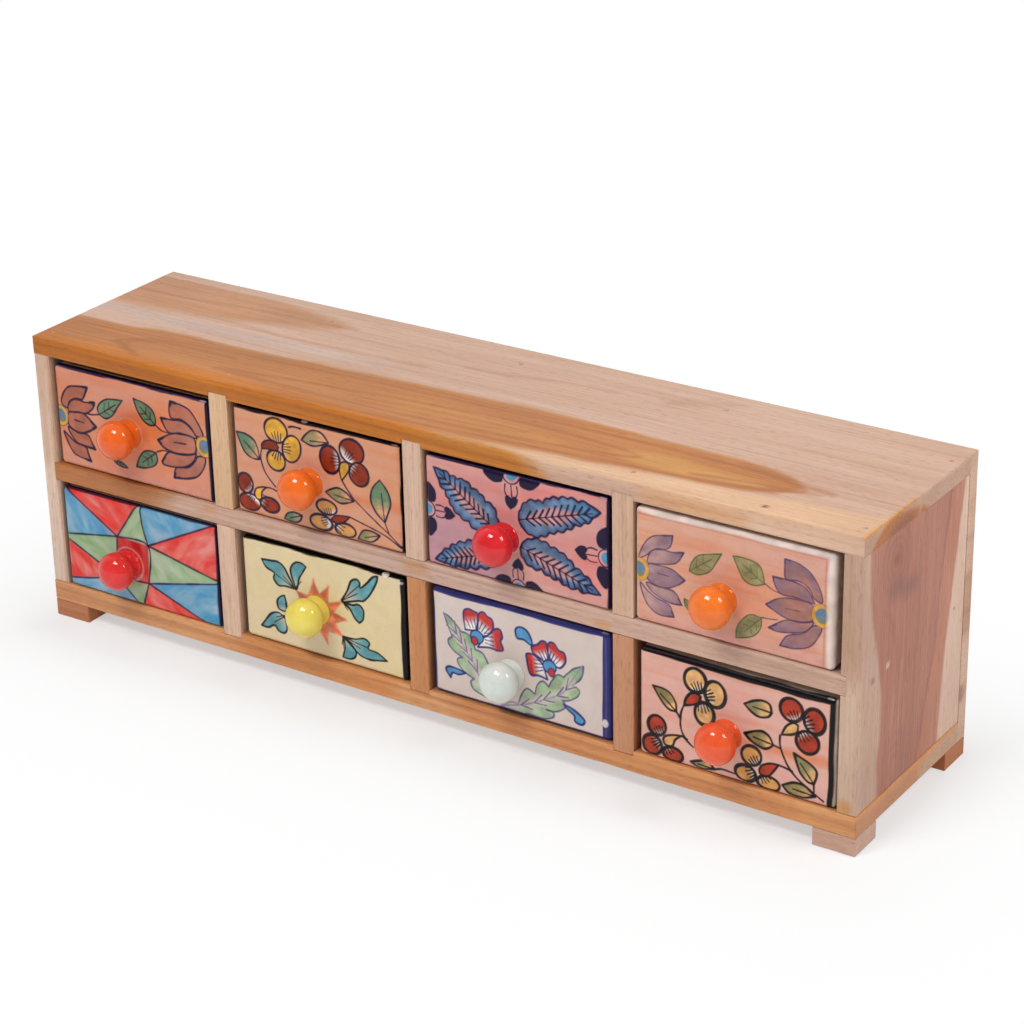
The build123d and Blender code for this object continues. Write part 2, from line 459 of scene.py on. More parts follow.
@dataclass(kw_only=True)
class Painting(Canvas):
    """What is painted on one drawer front; sizes are sketch units from the upper left corner."""

    width: float
    knob: Mark
    outline: Ink = Ink.INDIGO
    line_width: float = 12.5

    def draw(self) -> None:
        """Paint the whole front."""
        raise NotImplementedError

    def trace(self, path: Sketch, share: float = 1.0, **brush: float) -> None:
        """Draw a line in the outline's ink, at a share of its width."""
        self.line(path, self.outline, self.line_width * share, **brush)

    def border(self, ink: Ink, top: float, right: float, slant: float = 0.0, **brush: float) -> None:
        """Paint bands along the upper and right edges; a slant widens the upper one to the right."""
        self.beyond(top + slant * self.right / self.width - self.down, ink, **brush)
        self.beyond(self.right - (self.width - right), ink, **brush)

    def collar(self) -> None:
        """Let clear glaze pool round the knob's foot."""
        self.line(ring(self.knob, (100, 100)), Ink.WHITE, 12, soft=22, cover=0.3, closed=True)

    def thin_glaze_and_painted_highlight(self) -> None:
        """Paint a pale line along the upper edge, partly glaze that thins there and partly a painted
        highlight, and a painted white highlight at its right corner.
        """
        edge = [(24, 4), (self.width * 0.3, 1), (self.width * 0.7, 3), (self.width - 24, 2)]
        # pale line along the upper edge: glaze thinning there together with a painted highlight
        self.line(edge, Ink.LILAC, 5, soft=8, cover=0.55)
        # painted white highlight at the right corner
        self.fill(ring((self.width - 40, 3), (24, 5)), Ink.WHITE, cover=0.7)

    def leaf(
        self, outline: Line, ink: Ink, pale: Ink | None = None, veins: int = 2, line: Ink | None = None
    ) -> None:
        """Paint one outlined leaf with its midrib; the sharp corners are its two ends.

        Args:
            outline: the leaf's marks.
            ink: its colour.
            pale: the colour at its stalk, where the first sharp corner is the tip.
            veins: side veins on each side of the midrib.
            line: the colour of its outline, where it isn't the front's own.
        """
        dark = line or self.outline
        first, last = corners(outline)[:2]
        run = last - first
        if pale is None:
            self.fill(outline, ink, cover=0.92, uneven=0.2)
        else:
            toward = (first + run * 0.45, first + run * 0.85)
            self.fill(outline, ink, pale, toward, cover=0.92, uneven=0.15)
        self.line(outline, dark, self.line_width * 0.9, closed=True)
        self.line([last, last - run * 0.68], dark, self.line_width * 0.6)
        for step in range(veins):
            root = last - run * (0.22 + 0.2 * step)
            for turn in (-0.16, 0.16):
                self.line([root, root - run * 0.13 + aside(run) * turn], dark, self.line_width * 0.45)


@dataclass(kw_only=True)
class LotusFront(Painting):
    """Half lotuses that grow in from both ends, with leaves between them."""

    left_petals: str
    right_petals: str
    leaves: str
    stems: str
    eyes: tuple[Mark, Mark] = ((30, 335), (1178, 300))
    heart_inks: tuple[Ink, Ink] = (Ink.UMBER, Ink.MAUVE)
    tip_ink: Ink = Ink.UMBER
    tip_start: float = 0.0
    leaf_ink: Ink = Ink.LEAF
    leaf_line: Ink = Ink.INDIGO
    bordered: bool = True

    def draw(self) -> None:
        """Paint the ground, both flowers, the leaves and the border."""
        self.wash(Ink.ORANGE, (420, 150), 0.62 if self.bordered else 0.22)
        self.wash(Ink.ORANGE, (330, 26), 0.35, shift=3)
        self.wash(Ink.ROSE, (500, 220), 0.4, shift=9)
        glow = ring((self.knob[0] + 150, self.knob[1] - 60), (330, 160), -18)
        self.fill(glow, Ink.ORANGE, soft=190, cover=0.75 if self.bordered else 0.22)
        self.fill(ring((690, 640), (560, 60)), Ink.ROSE, soft=150, cover=0.55)
        self.collar()
        for leaf in paths(self.leaves):
            self.leaf(leaf, self.leaf_ink, line=self.leaf_line)
        for stem in paths(self.stems):
            self.trace(stem, 0.75)
        for petals, eye, heart in zip((self.left_petals, self.right_petals), self.eyes, self.heart_inks):
            self.flower(paths(petals), point(eye), heart)
        if self.bordered:
            self.border(Ink.INDIGO, 8, 20)
            self.thin_glaze_and_painted_highlight()
        else:
            self.line("0,34 600,30 1178,34* 1176,350 1174,700", Ink.UMBER, 7, 12, 0.5)
            self.beyond(24 - self.down, Ink.WHITE, soft=14, cover=0.85)
            self.beyond(self.right - (self.width - 40), Ink.WHITE, soft=18, cover=0.8)
            self.beyond(12 - self.right, Ink.WHITE, soft=18, cover=0.7)

    def flower(self, petals: list[Line], eye: Array, heart: Ink) -> None:
        """Paint one half lotus, outer petals first.

        Args:
            petals: outlines from the outermost to the middle one.
            eye: the middle of the flower.
            heart: the petals' colour near the eye.
        """
        for petal in petals:
            tip = corners(petal)[0]
            self.petal(petal, heart, eye + (tip - eye) * self.tip_start, tip)
        self.trace([eye + (tip - eye) * share for share in (0.4, 0.65)], 0.8, cover=0.8)
        self.fill(ring(eye, (64, 70)), Ink.YELLOW, cover=0.85)
        self.trace(ring(eye, (64, 70)), 0.4, closed=True, cover=0.6)
        self.fill(ring(eye, (40, 46)), Ink.SLATE, Ink.SAGE, (eye, (eye[0], eye[1] + 50)))

    def petal(self, outline: Line, ink: Ink, root: Array, tip: Array) -> None:
        """Paint one outlined petal.

        Args:
            outline: the petal's marks.
            ink: its colour at the root.
            root: where that colour is pure.
            tip: its end.
        """
        run = tip - root
        self.fill(outline, ink, self.tip_ink, (root, tip), cover=0.85, uneven=0.14)
        angle = math.degrees(math.atan2(run[1], run[0]))
        self.fill(outline, self.tip_ink, soft=14, cover=0.6, brush=angle)
        self.trace(outline, closed=True, cover=0.9)
        for number, mark in enumerate(outline):
            if len(mark) == 3:
                ends = (outline[number - 1], outline[(number + 1) % len(outline)])
                start, end = (point(mark) * 0.55 + point(other) * 0.45 for other in ends)
                self.trace([start, mark, end], 1.5, cover=0.8)


@dataclass
class Pansy:
    """One flower of three round petals and a drop-shaped fourth.

    A petal is its middle, its half width and height and, where it is turned, the turn.
    """

    petals: list[tuple[float, ...]]
    drop: str
    ink: Ink
    drop_ink: Ink


@dataclass(kw_only=True)
class PansyFront(Painting):
    """Pansies on vines that rise from the lower right corner."""

    pansies: list[Pansy]
    leaves: str
    stems: str
    leaf_inks: tuple[Ink, Ink] = (Ink.LEAF, Ink.SAGE)
    leaf_foot: Ink = Ink.PEACH
    wide_border: bool = False

    def draw(self) -> None:
        """Paint the ground, vines, leaves, flowers and border."""
        self.wash(Ink.ORANGE, (600, 40), 0.24 if self.wide_border else 0.42)
        self.wash(Ink.ROSE, (480, 160), 0.35, shift=5)
        self.fill("620,420 900,392 1260,360 1260,425 900,425", Ink.ORANGE, soft=50, cover=0.5)
        self.collar()
        for stem in paths(self.stems):
            self.trace(stem, 0.75)
        for number, leaf in enumerate(paths(self.leaves)):
            self.leaf(leaf, self.leaf_inks[number % 2], self.leaf_foot, veins=0)
        for pansy in self.pansies:
            self.pansy(pansy)
        if self.wide_border:
            self.border(Ink.BLACK, 26, 44, 14)
            self.border(Ink.CREAM, -14, 12, 4, soft=9)
        else:
            self.border(Ink.BLACK, 9, 9, 6)
            self.fill(ring((530, -8), (24, 12)), Ink.WHITE)
            self.line("425,52 460,42 510,44", self.outline, 12)
        self.thin_glaze_and_painted_highlight()

    def pansy(self, pansy: Pansy) -> None:
        """Paint one flower, with veins that run out from its heart.

        Args:
            pansy: the flower.
        """
        drop = marks(pansy.drop)
        heart = point(drop[0])
        pale = Ink.BUFF if pansy.ink is Ink.YELLOW else Ink.WHITE
        for x, y, half_width, half_height, *turn in pansy.petals:
            outline = ring((x, y), (half_width, half_height), *turn)
            reach = np.array((x, y)) - heart
            toward = (heart + reach * 0.44, heart + reach * 0.78)
            self.fill(outline, pale, pansy.ink, toward, uneven=0.16)
            self.trace(outline, 1.2, closed=True)
            side = aside(reach) * 0.3
            for spread in (-1.0, -0.35, 0.35, 1.0):
                root = heart + reach * 0.4 + side * spread * 0.75
                end = heart + reach * (0.98 - 0.16 * abs(spread)) + side * spread * 1.1
                self.trace([root, end], 0.52)
        self.fill(drop, pansy.drop_ink, uneven=0.15)
        self.trace(drop, 0.85, closed=True)


@dataclass(kw_only=True)
class FeatherFront(Painting):
    """Four scalloped leaves that spread to the corners, with half flowers on each edge."""

    feathers: list[tuple[str, Mark]]
    flowers: list[tuple[Mark, float, float]]

    def draw(self) -> None:
        """Paint the ground, the leaves, the half flowers and the border."""
        self.wash(Ink.PALE_RED, (300, 130), 0.7)
        self.wash(Ink.RED, (420, 60), 0.26, shift=2)
        self.wash(Ink.CREAM, (380, 200), 0.4, shift=4)
        self.fill(ring((120, 600), (420, 230)), Ink.LILAC, soft=260, cover=0.36)
        self.collar()
        for edge, turn, size in self.flowers:
            self.half_flower(edge, turn, size)
        for cusps, root in self.feathers:
            self.feather(np.array(marks(cusps)), point(root))
        self.border(Ink.INDIGO, 7, 16)
        side = np.minimum(self.right - (self.width + 8), self.down - 420)
        self.beyond(side, Ink.CRIMSON, soft=10)
        self.thin_glaze_and_painted_highlight()

    def feather(self, cusps: Array, root: Array) -> None:
        """Paint one scalloped leaf with its herringbone veins.

        Args:
            cusps: the cusps of its outline, from the tip.
            root: its end by the knob.
        """
        tip = cusps[0]
        run = root - tip
        side = aside(run) / np.linalg.norm(run)
        outline = self.scalloped(cusps, run)
        self.fill(outline, Ink.DENIM, cover=0.92)
        self.fill(outline, Ink.SKY, Ink.SLATE, (tip, tip + run * 0.5), soft=38, uneven=0.22, inset=17)
        middle = tip + run * 0.62
        inner = [(*(tip + run * 0.2), 1), middle + side * 50, (*(root - run * 0.02), 1), middle - side * 50]
        self.fill(inner, self.ground, soft=22, cover=0.9)
        self.trace(outline, 1.05, closed=True, cover=0.85)
        self.trace([tip + run * 0.1, root], 0.65, cover=0.85)
        for step in range(10):
            share = 0.2 + 0.08 * step
            reach = 62 * math.sin(math.pi * min(share, 0.72)) ** 1.4
            for turn in (-reach, reach):
                vein = [tip + run * share, tip + run * (share - 0.08) + side * turn]
                self.trace(vein, 1.05, cover=0.9)

    @staticmethod
    def scalloped(cusps: Array, run: Array) -> Line:
        """Bow an outline outwards between its cusps, least beside its pointed tip.

        Args:
            cusps: the outline's cusps, from the tip.
            run: the way from the tip to the leaf's root.

        Returns:
            The outline's marks.
        """
        bowed = []
        for number, (start, end) in enumerate(zip(cusps, np.roll(cusps, -1, axis=0))):
            middle = (start + end) / 2
            foot = cusps[0] + run * ((middle - cusps[0]) @ run / (run @ run))
            away = (middle - foot) / max(np.linalg.norm(middle - foot), TINY)
            bow = 0.24 if 0 < number < len(cusps) - 1 else 0.04
            bowed += [(*start, 1.0), middle + away * bow * np.linalg.norm(end - start)]
        return bowed

    def half_flower(self, edge: Mark, turn: float, size: float) -> None:
        """Paint one dark half flower that grows in from an edge.

        Args:
            edge: its middle, on the edge.
            turn: which way it grows, in degrees; 0 is downwards.
            size: its reach.
        """
        angle = math.radians(turn)
        across = np.array([math.cos(angle), math.sin(angle)]) * size / 100

        def placed(sketch: str, hand: int = 1) -> Line:
            """Lay a sketch, in hundredths of the reach, on the front."""
            found = [(point(edge) + across * x * hand + aside(across) * y, c) for x, y, *c in marks(sketch)]
            return [(*place, *corner) for place, corner in found]

        for hand in (-1, 1):
            self.fill(placed("28,24 50,32 72,25 90,2 60,-10 30,0", hand), Ink.INDIGO, cover=0.95)
            self.line(placed("18,30 20,50 12,66", hand), Ink.INDIGO, 8)
        heart = "-20,68 -10,60 0,66 10,60 22,68 14,86 -2,100* -16,86"
        self.fill(placed(heart), Ink.INDIGO, cover=0.95)
        self.line(placed("0,30 2,62"), Ink.INDIGO, 8)
        cup = ring(edge, (0.26 * size, 0.26 * size))
        self.fill(cup, Ink.ROSE, cover=0.9)
        self.line(cup, Ink.INDIGO, 8, closed=True)
        self.fill(ring(edge, (0.17 * size, 0.17 * size)), Ink.SKY)


@dataclass(kw_only=True)
class PinwheelFront(Painting):
    """A pinwheel of red, blue and green triangles round a red square, told by its named points."""

    TINTS: ClassVar[dict[str, tuple[Ink, Ink]]] = {
        "blue": (Ink.BLUE, Ink.PALE_BLUE),
        "red": (Ink.RED, Ink.PALE_RED),
        "green": (Ink.MOSS, Ink.PALE_GREEN),
        "pale": (Ink.PALE_BLUE, Ink.BLUE),
        "heart": (Ink.CRIMSON, Ink.RED),
    }
    points: dict[str, Mark]
    patches: str
    lines: str

    def draw(self) -> None:
        """Paint the patches, the lines between them and the pale ring that the knob sits in."""
        for patch in self.patches.split(";"):
            *names, tint = patch.split()
            ink, pale = self.TINTS[tint]
            outline = np.array([self.points[name] for name in names], float)
            sharp = [(*corner, 1) for corner in outline]
            reach = outline[0] - outline.mean(0)
            angle = math.degrees(math.atan2(reach[1], reach[0]))
            self.fill(sharp, ink, soft=10, uneven=0.05)
            self.fill(sharp, pale, soft=70, cover=0.75, uneven=0.0, brush=angle)
            self.fill(sharp, Ink.WHITE, soft=90, cover=0.36, uneven=0.0, brush=angle + 25)
        for line in self.lines.split(";"):
            path = [(*self.points[name.rstrip("*")], *name.count("*") * (1,)) for name in line.split()]
            self.trace(path, soft=5, cover=0.82)
        self.line(ring(self.knob, (112, 112)), Ink.WHITE, 12, soft=14, cover=0.7, closed=True)
        self.beyond(self.right - (self.width - 12), Ink.INDIGO, cover=0.85)
        self.beyond(3 - self.down, Ink.INDIGO, cover=0.7)
        self.beyond(8 - self.right, Ink.INDIGO, cover=0.6)


@dataclass(kw_only=True)
class StarburstFront(Painting):
    """A painted starburst round the knob, with a two-leaved sprig towards each corner."""

    star: str
    sprigs: list[tuple[Mark, str]]

    def draw(self) -> None:
        """Paint the ground, the star, the sprigs and the black border."""
        self.wash(Ink.LEMON, (260, 320), 0.5)
        self.wash(Ink.CREAM, (420, 260), 0.4, shift=6)
        star = marks(self.star)
        self.fill([(*mark, 1) for mark in star], Ink.CORAL, soft=12, cover=0.9, uneven=0.25)
        for mark in star[::2]:
            middle = point(mark) * 0.6 + point(self.knob) * 0.4
            self.line([middle, mark], Ink.RED, 16, soft=20, cover=0.4)
        for root, leaves in self.sprigs:
            for outline in paths(leaves):
                self.sprig_leaf(outline, point(root))
        self.border(Ink.BLACK, 14, 34, -4)
        self.fill(ring((1072, 0), (26, 20)), Ink.WHITE)
        self.fill(ring((1190, 30), (16, 10)), Ink.WHITE, cover=0.7)

    def sprig_leaf(self, outline: Line, root: Array) -> None:
        """Paint one leaf that is pale at its root.

        Args:
            outline: the leaf's marks; the second sharp corner is its tip.
            root: where the sprig starts.
        """
        reach = corners(outline)[1] - root
        toward = (root + reach * 0.1, root + reach * 0.5)
        self.fill(outline, Ink.CREAM, Ink.TEAL, toward, cover=0.95, uneven=0.14)
        self.trace(outline, closed=True)
        for share, sway in ((0.4, 0.05), (0.55, -0.05)):
            self.trace([root, root + reach * share + aside(reach) * sway], 0.5)


@dataclass(kw_only=True)
class BouquetFront(Painting):
    """Two red-tipped flowers on lobed leaf sprays, with drop-shaped blue buds."""

    height: float
    flowers: list[tuple[str, Mark, Mark]]
    sprays: list[tuple[str, str]]
    buds: str

    def draw(self) -> None:
        """Paint the ground, the sprays, the flowers, the buds and the cobalt border."""
        self.wash(Ink.WHITE, (320, 240), 0.3)
        self.wash(Ink.CREAM, (300, 200), 0.25, shift=8)
        for outline, rib in self.sprays:
            self.spray(outline, marks(rib))
        for bud in paths(self.buds):
            self.fill(bud, Ink.SKY, uneven=0.15)
            self.trace(bud, 1.1, closed=True)
        for petals, eye, heart in self.flowers:
            self.flower(paths(petals), point(eye), heart)
        self.border(Ink.COBALT, 32, 54, -4)
        self.beyond(20 - self.right, Ink.COBALT, cover=0.85)
        self.beyond(self.down - (self.height - 20), Ink.COBALT, cover=0.85)
        inside = [(self.width - 34, 40), (self.width - 32, 330), (self.width - 36, 660)]
        self.line(inside, Ink.LILAC, 8, soft=10, cover=0.4)
        self.fill(ring((1188, 576), (20, 26)), Ink.WHITE, cover=0.9)
        self.thin_glaze_and_painted_highlight()

    def spray(self, outline: str, rib: Line) -> None:
        """Paint one lobed leaf spray.

        Args:
            outline: its outline.
            rib: its midrib, from the tip.
        """
        self.fill(outline, Ink.PALE_GREEN, Ink.MOSS, (rib[-1], rib[0]), cover=0.9, uneven=0.2)
        self.trace(outline, 0.85, closed=True, cover=0.7)
        self.line(rib[1:], self.ground, 64, soft=30, cover=0.62)
        self.line(rib, Ink.LILAC, self.line_width * 0.8)
        line = flow(rib, closed=False)
        steps = len(line) - 1
        for share in (0.35, 0.48, 0.6, 0.72, 0.84):
            at = line[int(share * steps)]
            run = line[min(int(share * steps) + 1, steps)] - at
            run = run / max(np.linalg.norm(run), TINY)
            for turn in (-34, 34):
                vein = [at, at - run * 74 + aside(run) * turn]
                self.line(vein, Ink.WHITE, 18, soft=12, cover=0.4)
                self.line(vein, Ink.VIOLET, self.line_width * 0.85, cover=0.85)

    def flower(self, petals: list[Line], eye: Array, heart: Mark) -> None:
        """Paint one flower of three petals.

        Args:
            petals: their outlines.
            eye: the middle of the blue eye.
            heart: the middle of the red drop in it.
        """
        for petal in petals:
            reach = np.mean([mark for mark in petal if len(mark) == 2], axis=0) - eye
            toward = (eye + reach * 0.62, eye + reach * 0.95)
            self.fill(petal, Ink.WHITE, Ink.BRICK, toward, uneven=0.16)
            self.trace(petal, closed=True)
            for sway in (-0.3, -0.1, 0.1, 0.3):
                side = aside(reach) * sway
                self.trace([eye + reach * 0.4 + side * 0.7, eye + reach * 0.8 + side], 0.6, cover=0.8)
        for middle, radii, ink, width in ((eye, (45, 41), Ink.SKY, 0.8), (heart, (23, 27), Ink.BRICK, 0.7)):
            self.fill(ring(middle, radii), ink)
            self.trace(ring(middle, radii), width, closed=True)


def upper_paintings() -> list[Painting]:
    """Sketch the four upper fronts.

    Returns:
        The paintings, from left to right.
    """
    first = LotusFront(
        width=1221,
        knob=(581, 342),
        ground=(214, 144, 113),
        left_petals="""
        45,250 60,190 110,130 180,110 265,103* 240,160 215,192 160,195 110,230 90,275; 45,440 90,470 140,500
        215,510 235,560 250,600* 160,590 110,570 70,510; 95,260 130,215 190,200 240,205 315,193* 300,235
        240,280 170,285 105,300; 85,400 130,415 240,425 270,470 292,510* 200,505 140,490 95,440; 95,305
        150,290 230,290 315,355* 260,395 180,425 110,405 85,370""",
        right_petals="""
        1175,235 1150,170 1085,85 1010,60 935,55* 920,110 935,165 1010,160 1080,190 1120,240; 1180,375
        1165,440 1110,510 1020,545 925,558* 945,490 1040,465 1100,410 1125,375; 1120,245 1060,185 1000,165
        930,175 850,180* 870,225 910,265 1000,250 1100,260; 1110,355 1060,380 960,395 890,400 835,470*
        850,490 950,485 1040,455 1090,410; 1100,262 1000,255 910,275 815,333* 860,375 960,390 1060,375
        1110,350""",
        leaves="""
        548,130* 500,190 455,250 400,280 350,265* 340,225 370,180 430,145; 640,97* 660,160 700,220 750,248
        800,240* 805,190 780,140 720,110; 625,553* 650,490 690,440 740,422 790,425* 798,470 770,515 700,545;
        550,578* 520,556 480,546 440,544* 455,565 500,580""",
        stems="""
        240,280 290,278 345,265; 805,240 850,265 910,268; 800,415 850,395 905,395""",
    )
    second = PansyFront(
        width=1225,
        knob=(560, 379),
        ground=(214, 153, 118),
        pansies=[
            Pansy(
                [(325, 95, 85, 78), (437, 190, 66, 90, 20), (315, 290, 68, 66)],
                "340,200* 310,170 250,175 215,205 212,235* 260,228 320,225", Ink.YELLOW, Ink.BROWN,
            ),
            Pansy(
                [(880, 110, 88, 78), (718, 195, 72, 88), (927, 245, 70, 74)],
                "825,185* 855,195 850,240 800,310* 785,260 795,205", Ink.BROWN, Ink.YELLOW,
            ),
            Pansy(
                [(70, 490, 58, 65), (97, 608, 80, 55), (250, 595, 70, 48)],
                "135,545* 150,510 195,490 230,485* 195,520 185,570 150,575", Ink.BROWN, Ink.YELLOW,
            ),
            Pansy(
                [(677, 510, 74, 47), (632, 618, 82, 50), (810, 628, 75, 44)],
                "705,585* 740,550 790,540 845,535* 800,580 750,600", Ink.OCHRE, Ink.BROWN,
            ),
        ],
        leaves="""
        25,165* 50,230 85,290 140,315 190,310* 180,240 150,190 90,165; 515,115* 580,135 640,125 715,90*
        665,40 600,35 550,70; 1075,245* 1130,310 1148,380 1125,450 1100,510* 1040,460 1005,390 1020,310;
        675,410* 720,440 780,460 840,445 880,425* 830,385 770,365 715,385; 355,660* 420,668 470,650 490,610*
        430,600 380,620; 900,660* 980,665 1030,640 1060,605* 1000,590 940,600""",
        stems="""
        212,235 200,300 230,390 300,465; 800,310 840,365 900,425 1050,530 1130,580 1215,645; 1100,510
        1128,575; 845,535 960,560 1100,595 1215,650; 230,485 265,482 310,492""",
    )
    third = FeatherFront(
        width=1238,
        knob=(545, 399),
        ground=(208, 144, 139),
        feathers=[
            ("""
            65,70 120,78 175,100 225,108 275,108 320,145 375,165 415,205 465,225 490,285 500,350 430,400
            350,395 300,355 235,330 190,290 165,245 140,195 100,145""", (470, 362)),
            ("""
            1185,95 1130,140 1075,182 1015,205 960,245 900,272 845,295 790,328 725,338 665,305 640,265
            655,200 695,145 755,125 805,122 850,88 910,75 970,60 1040,66 1110,64""", (648, 262)),
            ("""
            1180,600 1100,606 1030,595 960,596 905,570 845,563 790,535 725,536 670,500 648,440 670,395
            720,368 790,364 850,385 910,402 965,432 1010,475 1070,507 1125,547""", (652, 430)),
            ("""
            60,650 105,598 155,565 205,525 265,500 325,474 400,462 470,464 500,545 440,608 370,622 300,643
            220,653 140,660""", (480, 520)),
        ],
        flowers=[
            ((592, 0), 0, 215),
            ((15, 340), 270, 190),
            ((1222, 365), 90, 210),
            ((630, 690), 180, 185),
        ],
    )
    fourth = LotusFront(
        width=1232,
        knob=(548, 425),
        ground=(218, 167, 145),
        outline=Ink.PLUM,
        line_width=7.5,
        left_petals="""
        25,300 60,210 120,150 240,120* 230,180 200,210 130,225 80,270; 35,450 80,490 140,520 220,545
        250,610* 170,620 110,600 60,540; 80,300 110,240 180,220 240,220 310,205* 280,260 240,290 160,310
        90,320; 75,440 150,450 250,455 300,525* 230,530 150,510 100,480; 85,330 160,320 240,325 318,370*
        280,405 200,445 120,440 80,410""",
        right_petals="""
        1160,290 1140,210 1080,130 1000,95 930,90* 930,150 940,205 1020,200 1080,230 1110,280; 1160,440
        1140,500 1090,570 1000,605 910,610* 930,570 960,535 1050,500 1110,440; 1110,300 1060,230 980,210
        860,210* 870,250 910,300 1000,300 1100,310; 1110,420 1040,440 940,450 840,520* 900,530 1000,510
        1070,480; 1100,320 1000,310 900,330 820,385* 870,410 960,440 1060,430 1110,400""",
        leaves="""
        545,155* 510,220 470,280 400,315 345,305* 360,250 400,200 470,175; 615,148* 640,200 680,270 740,292
        810,270* 800,210 770,160 690,145; 640,635* 645,570 680,510 730,470 795,475* 790,540 740,600;
        350,550* 320,520 315,480* 345,495""",
        stems="815,265 860,290 910,300; 795,470 840,468 890,460",
        eyes=((28, 370), (1160, 370)),
        heart_inks=(Ink.HEATHER, Ink.TAUPE),
        tip_ink=Ink.DUSK,
        tip_start=0.6,
        leaf_ink=Ink.SAGE,
        leaf_line=Ink.FERN,
        bordered=False,
    )
    return [first, second, third, fourth]


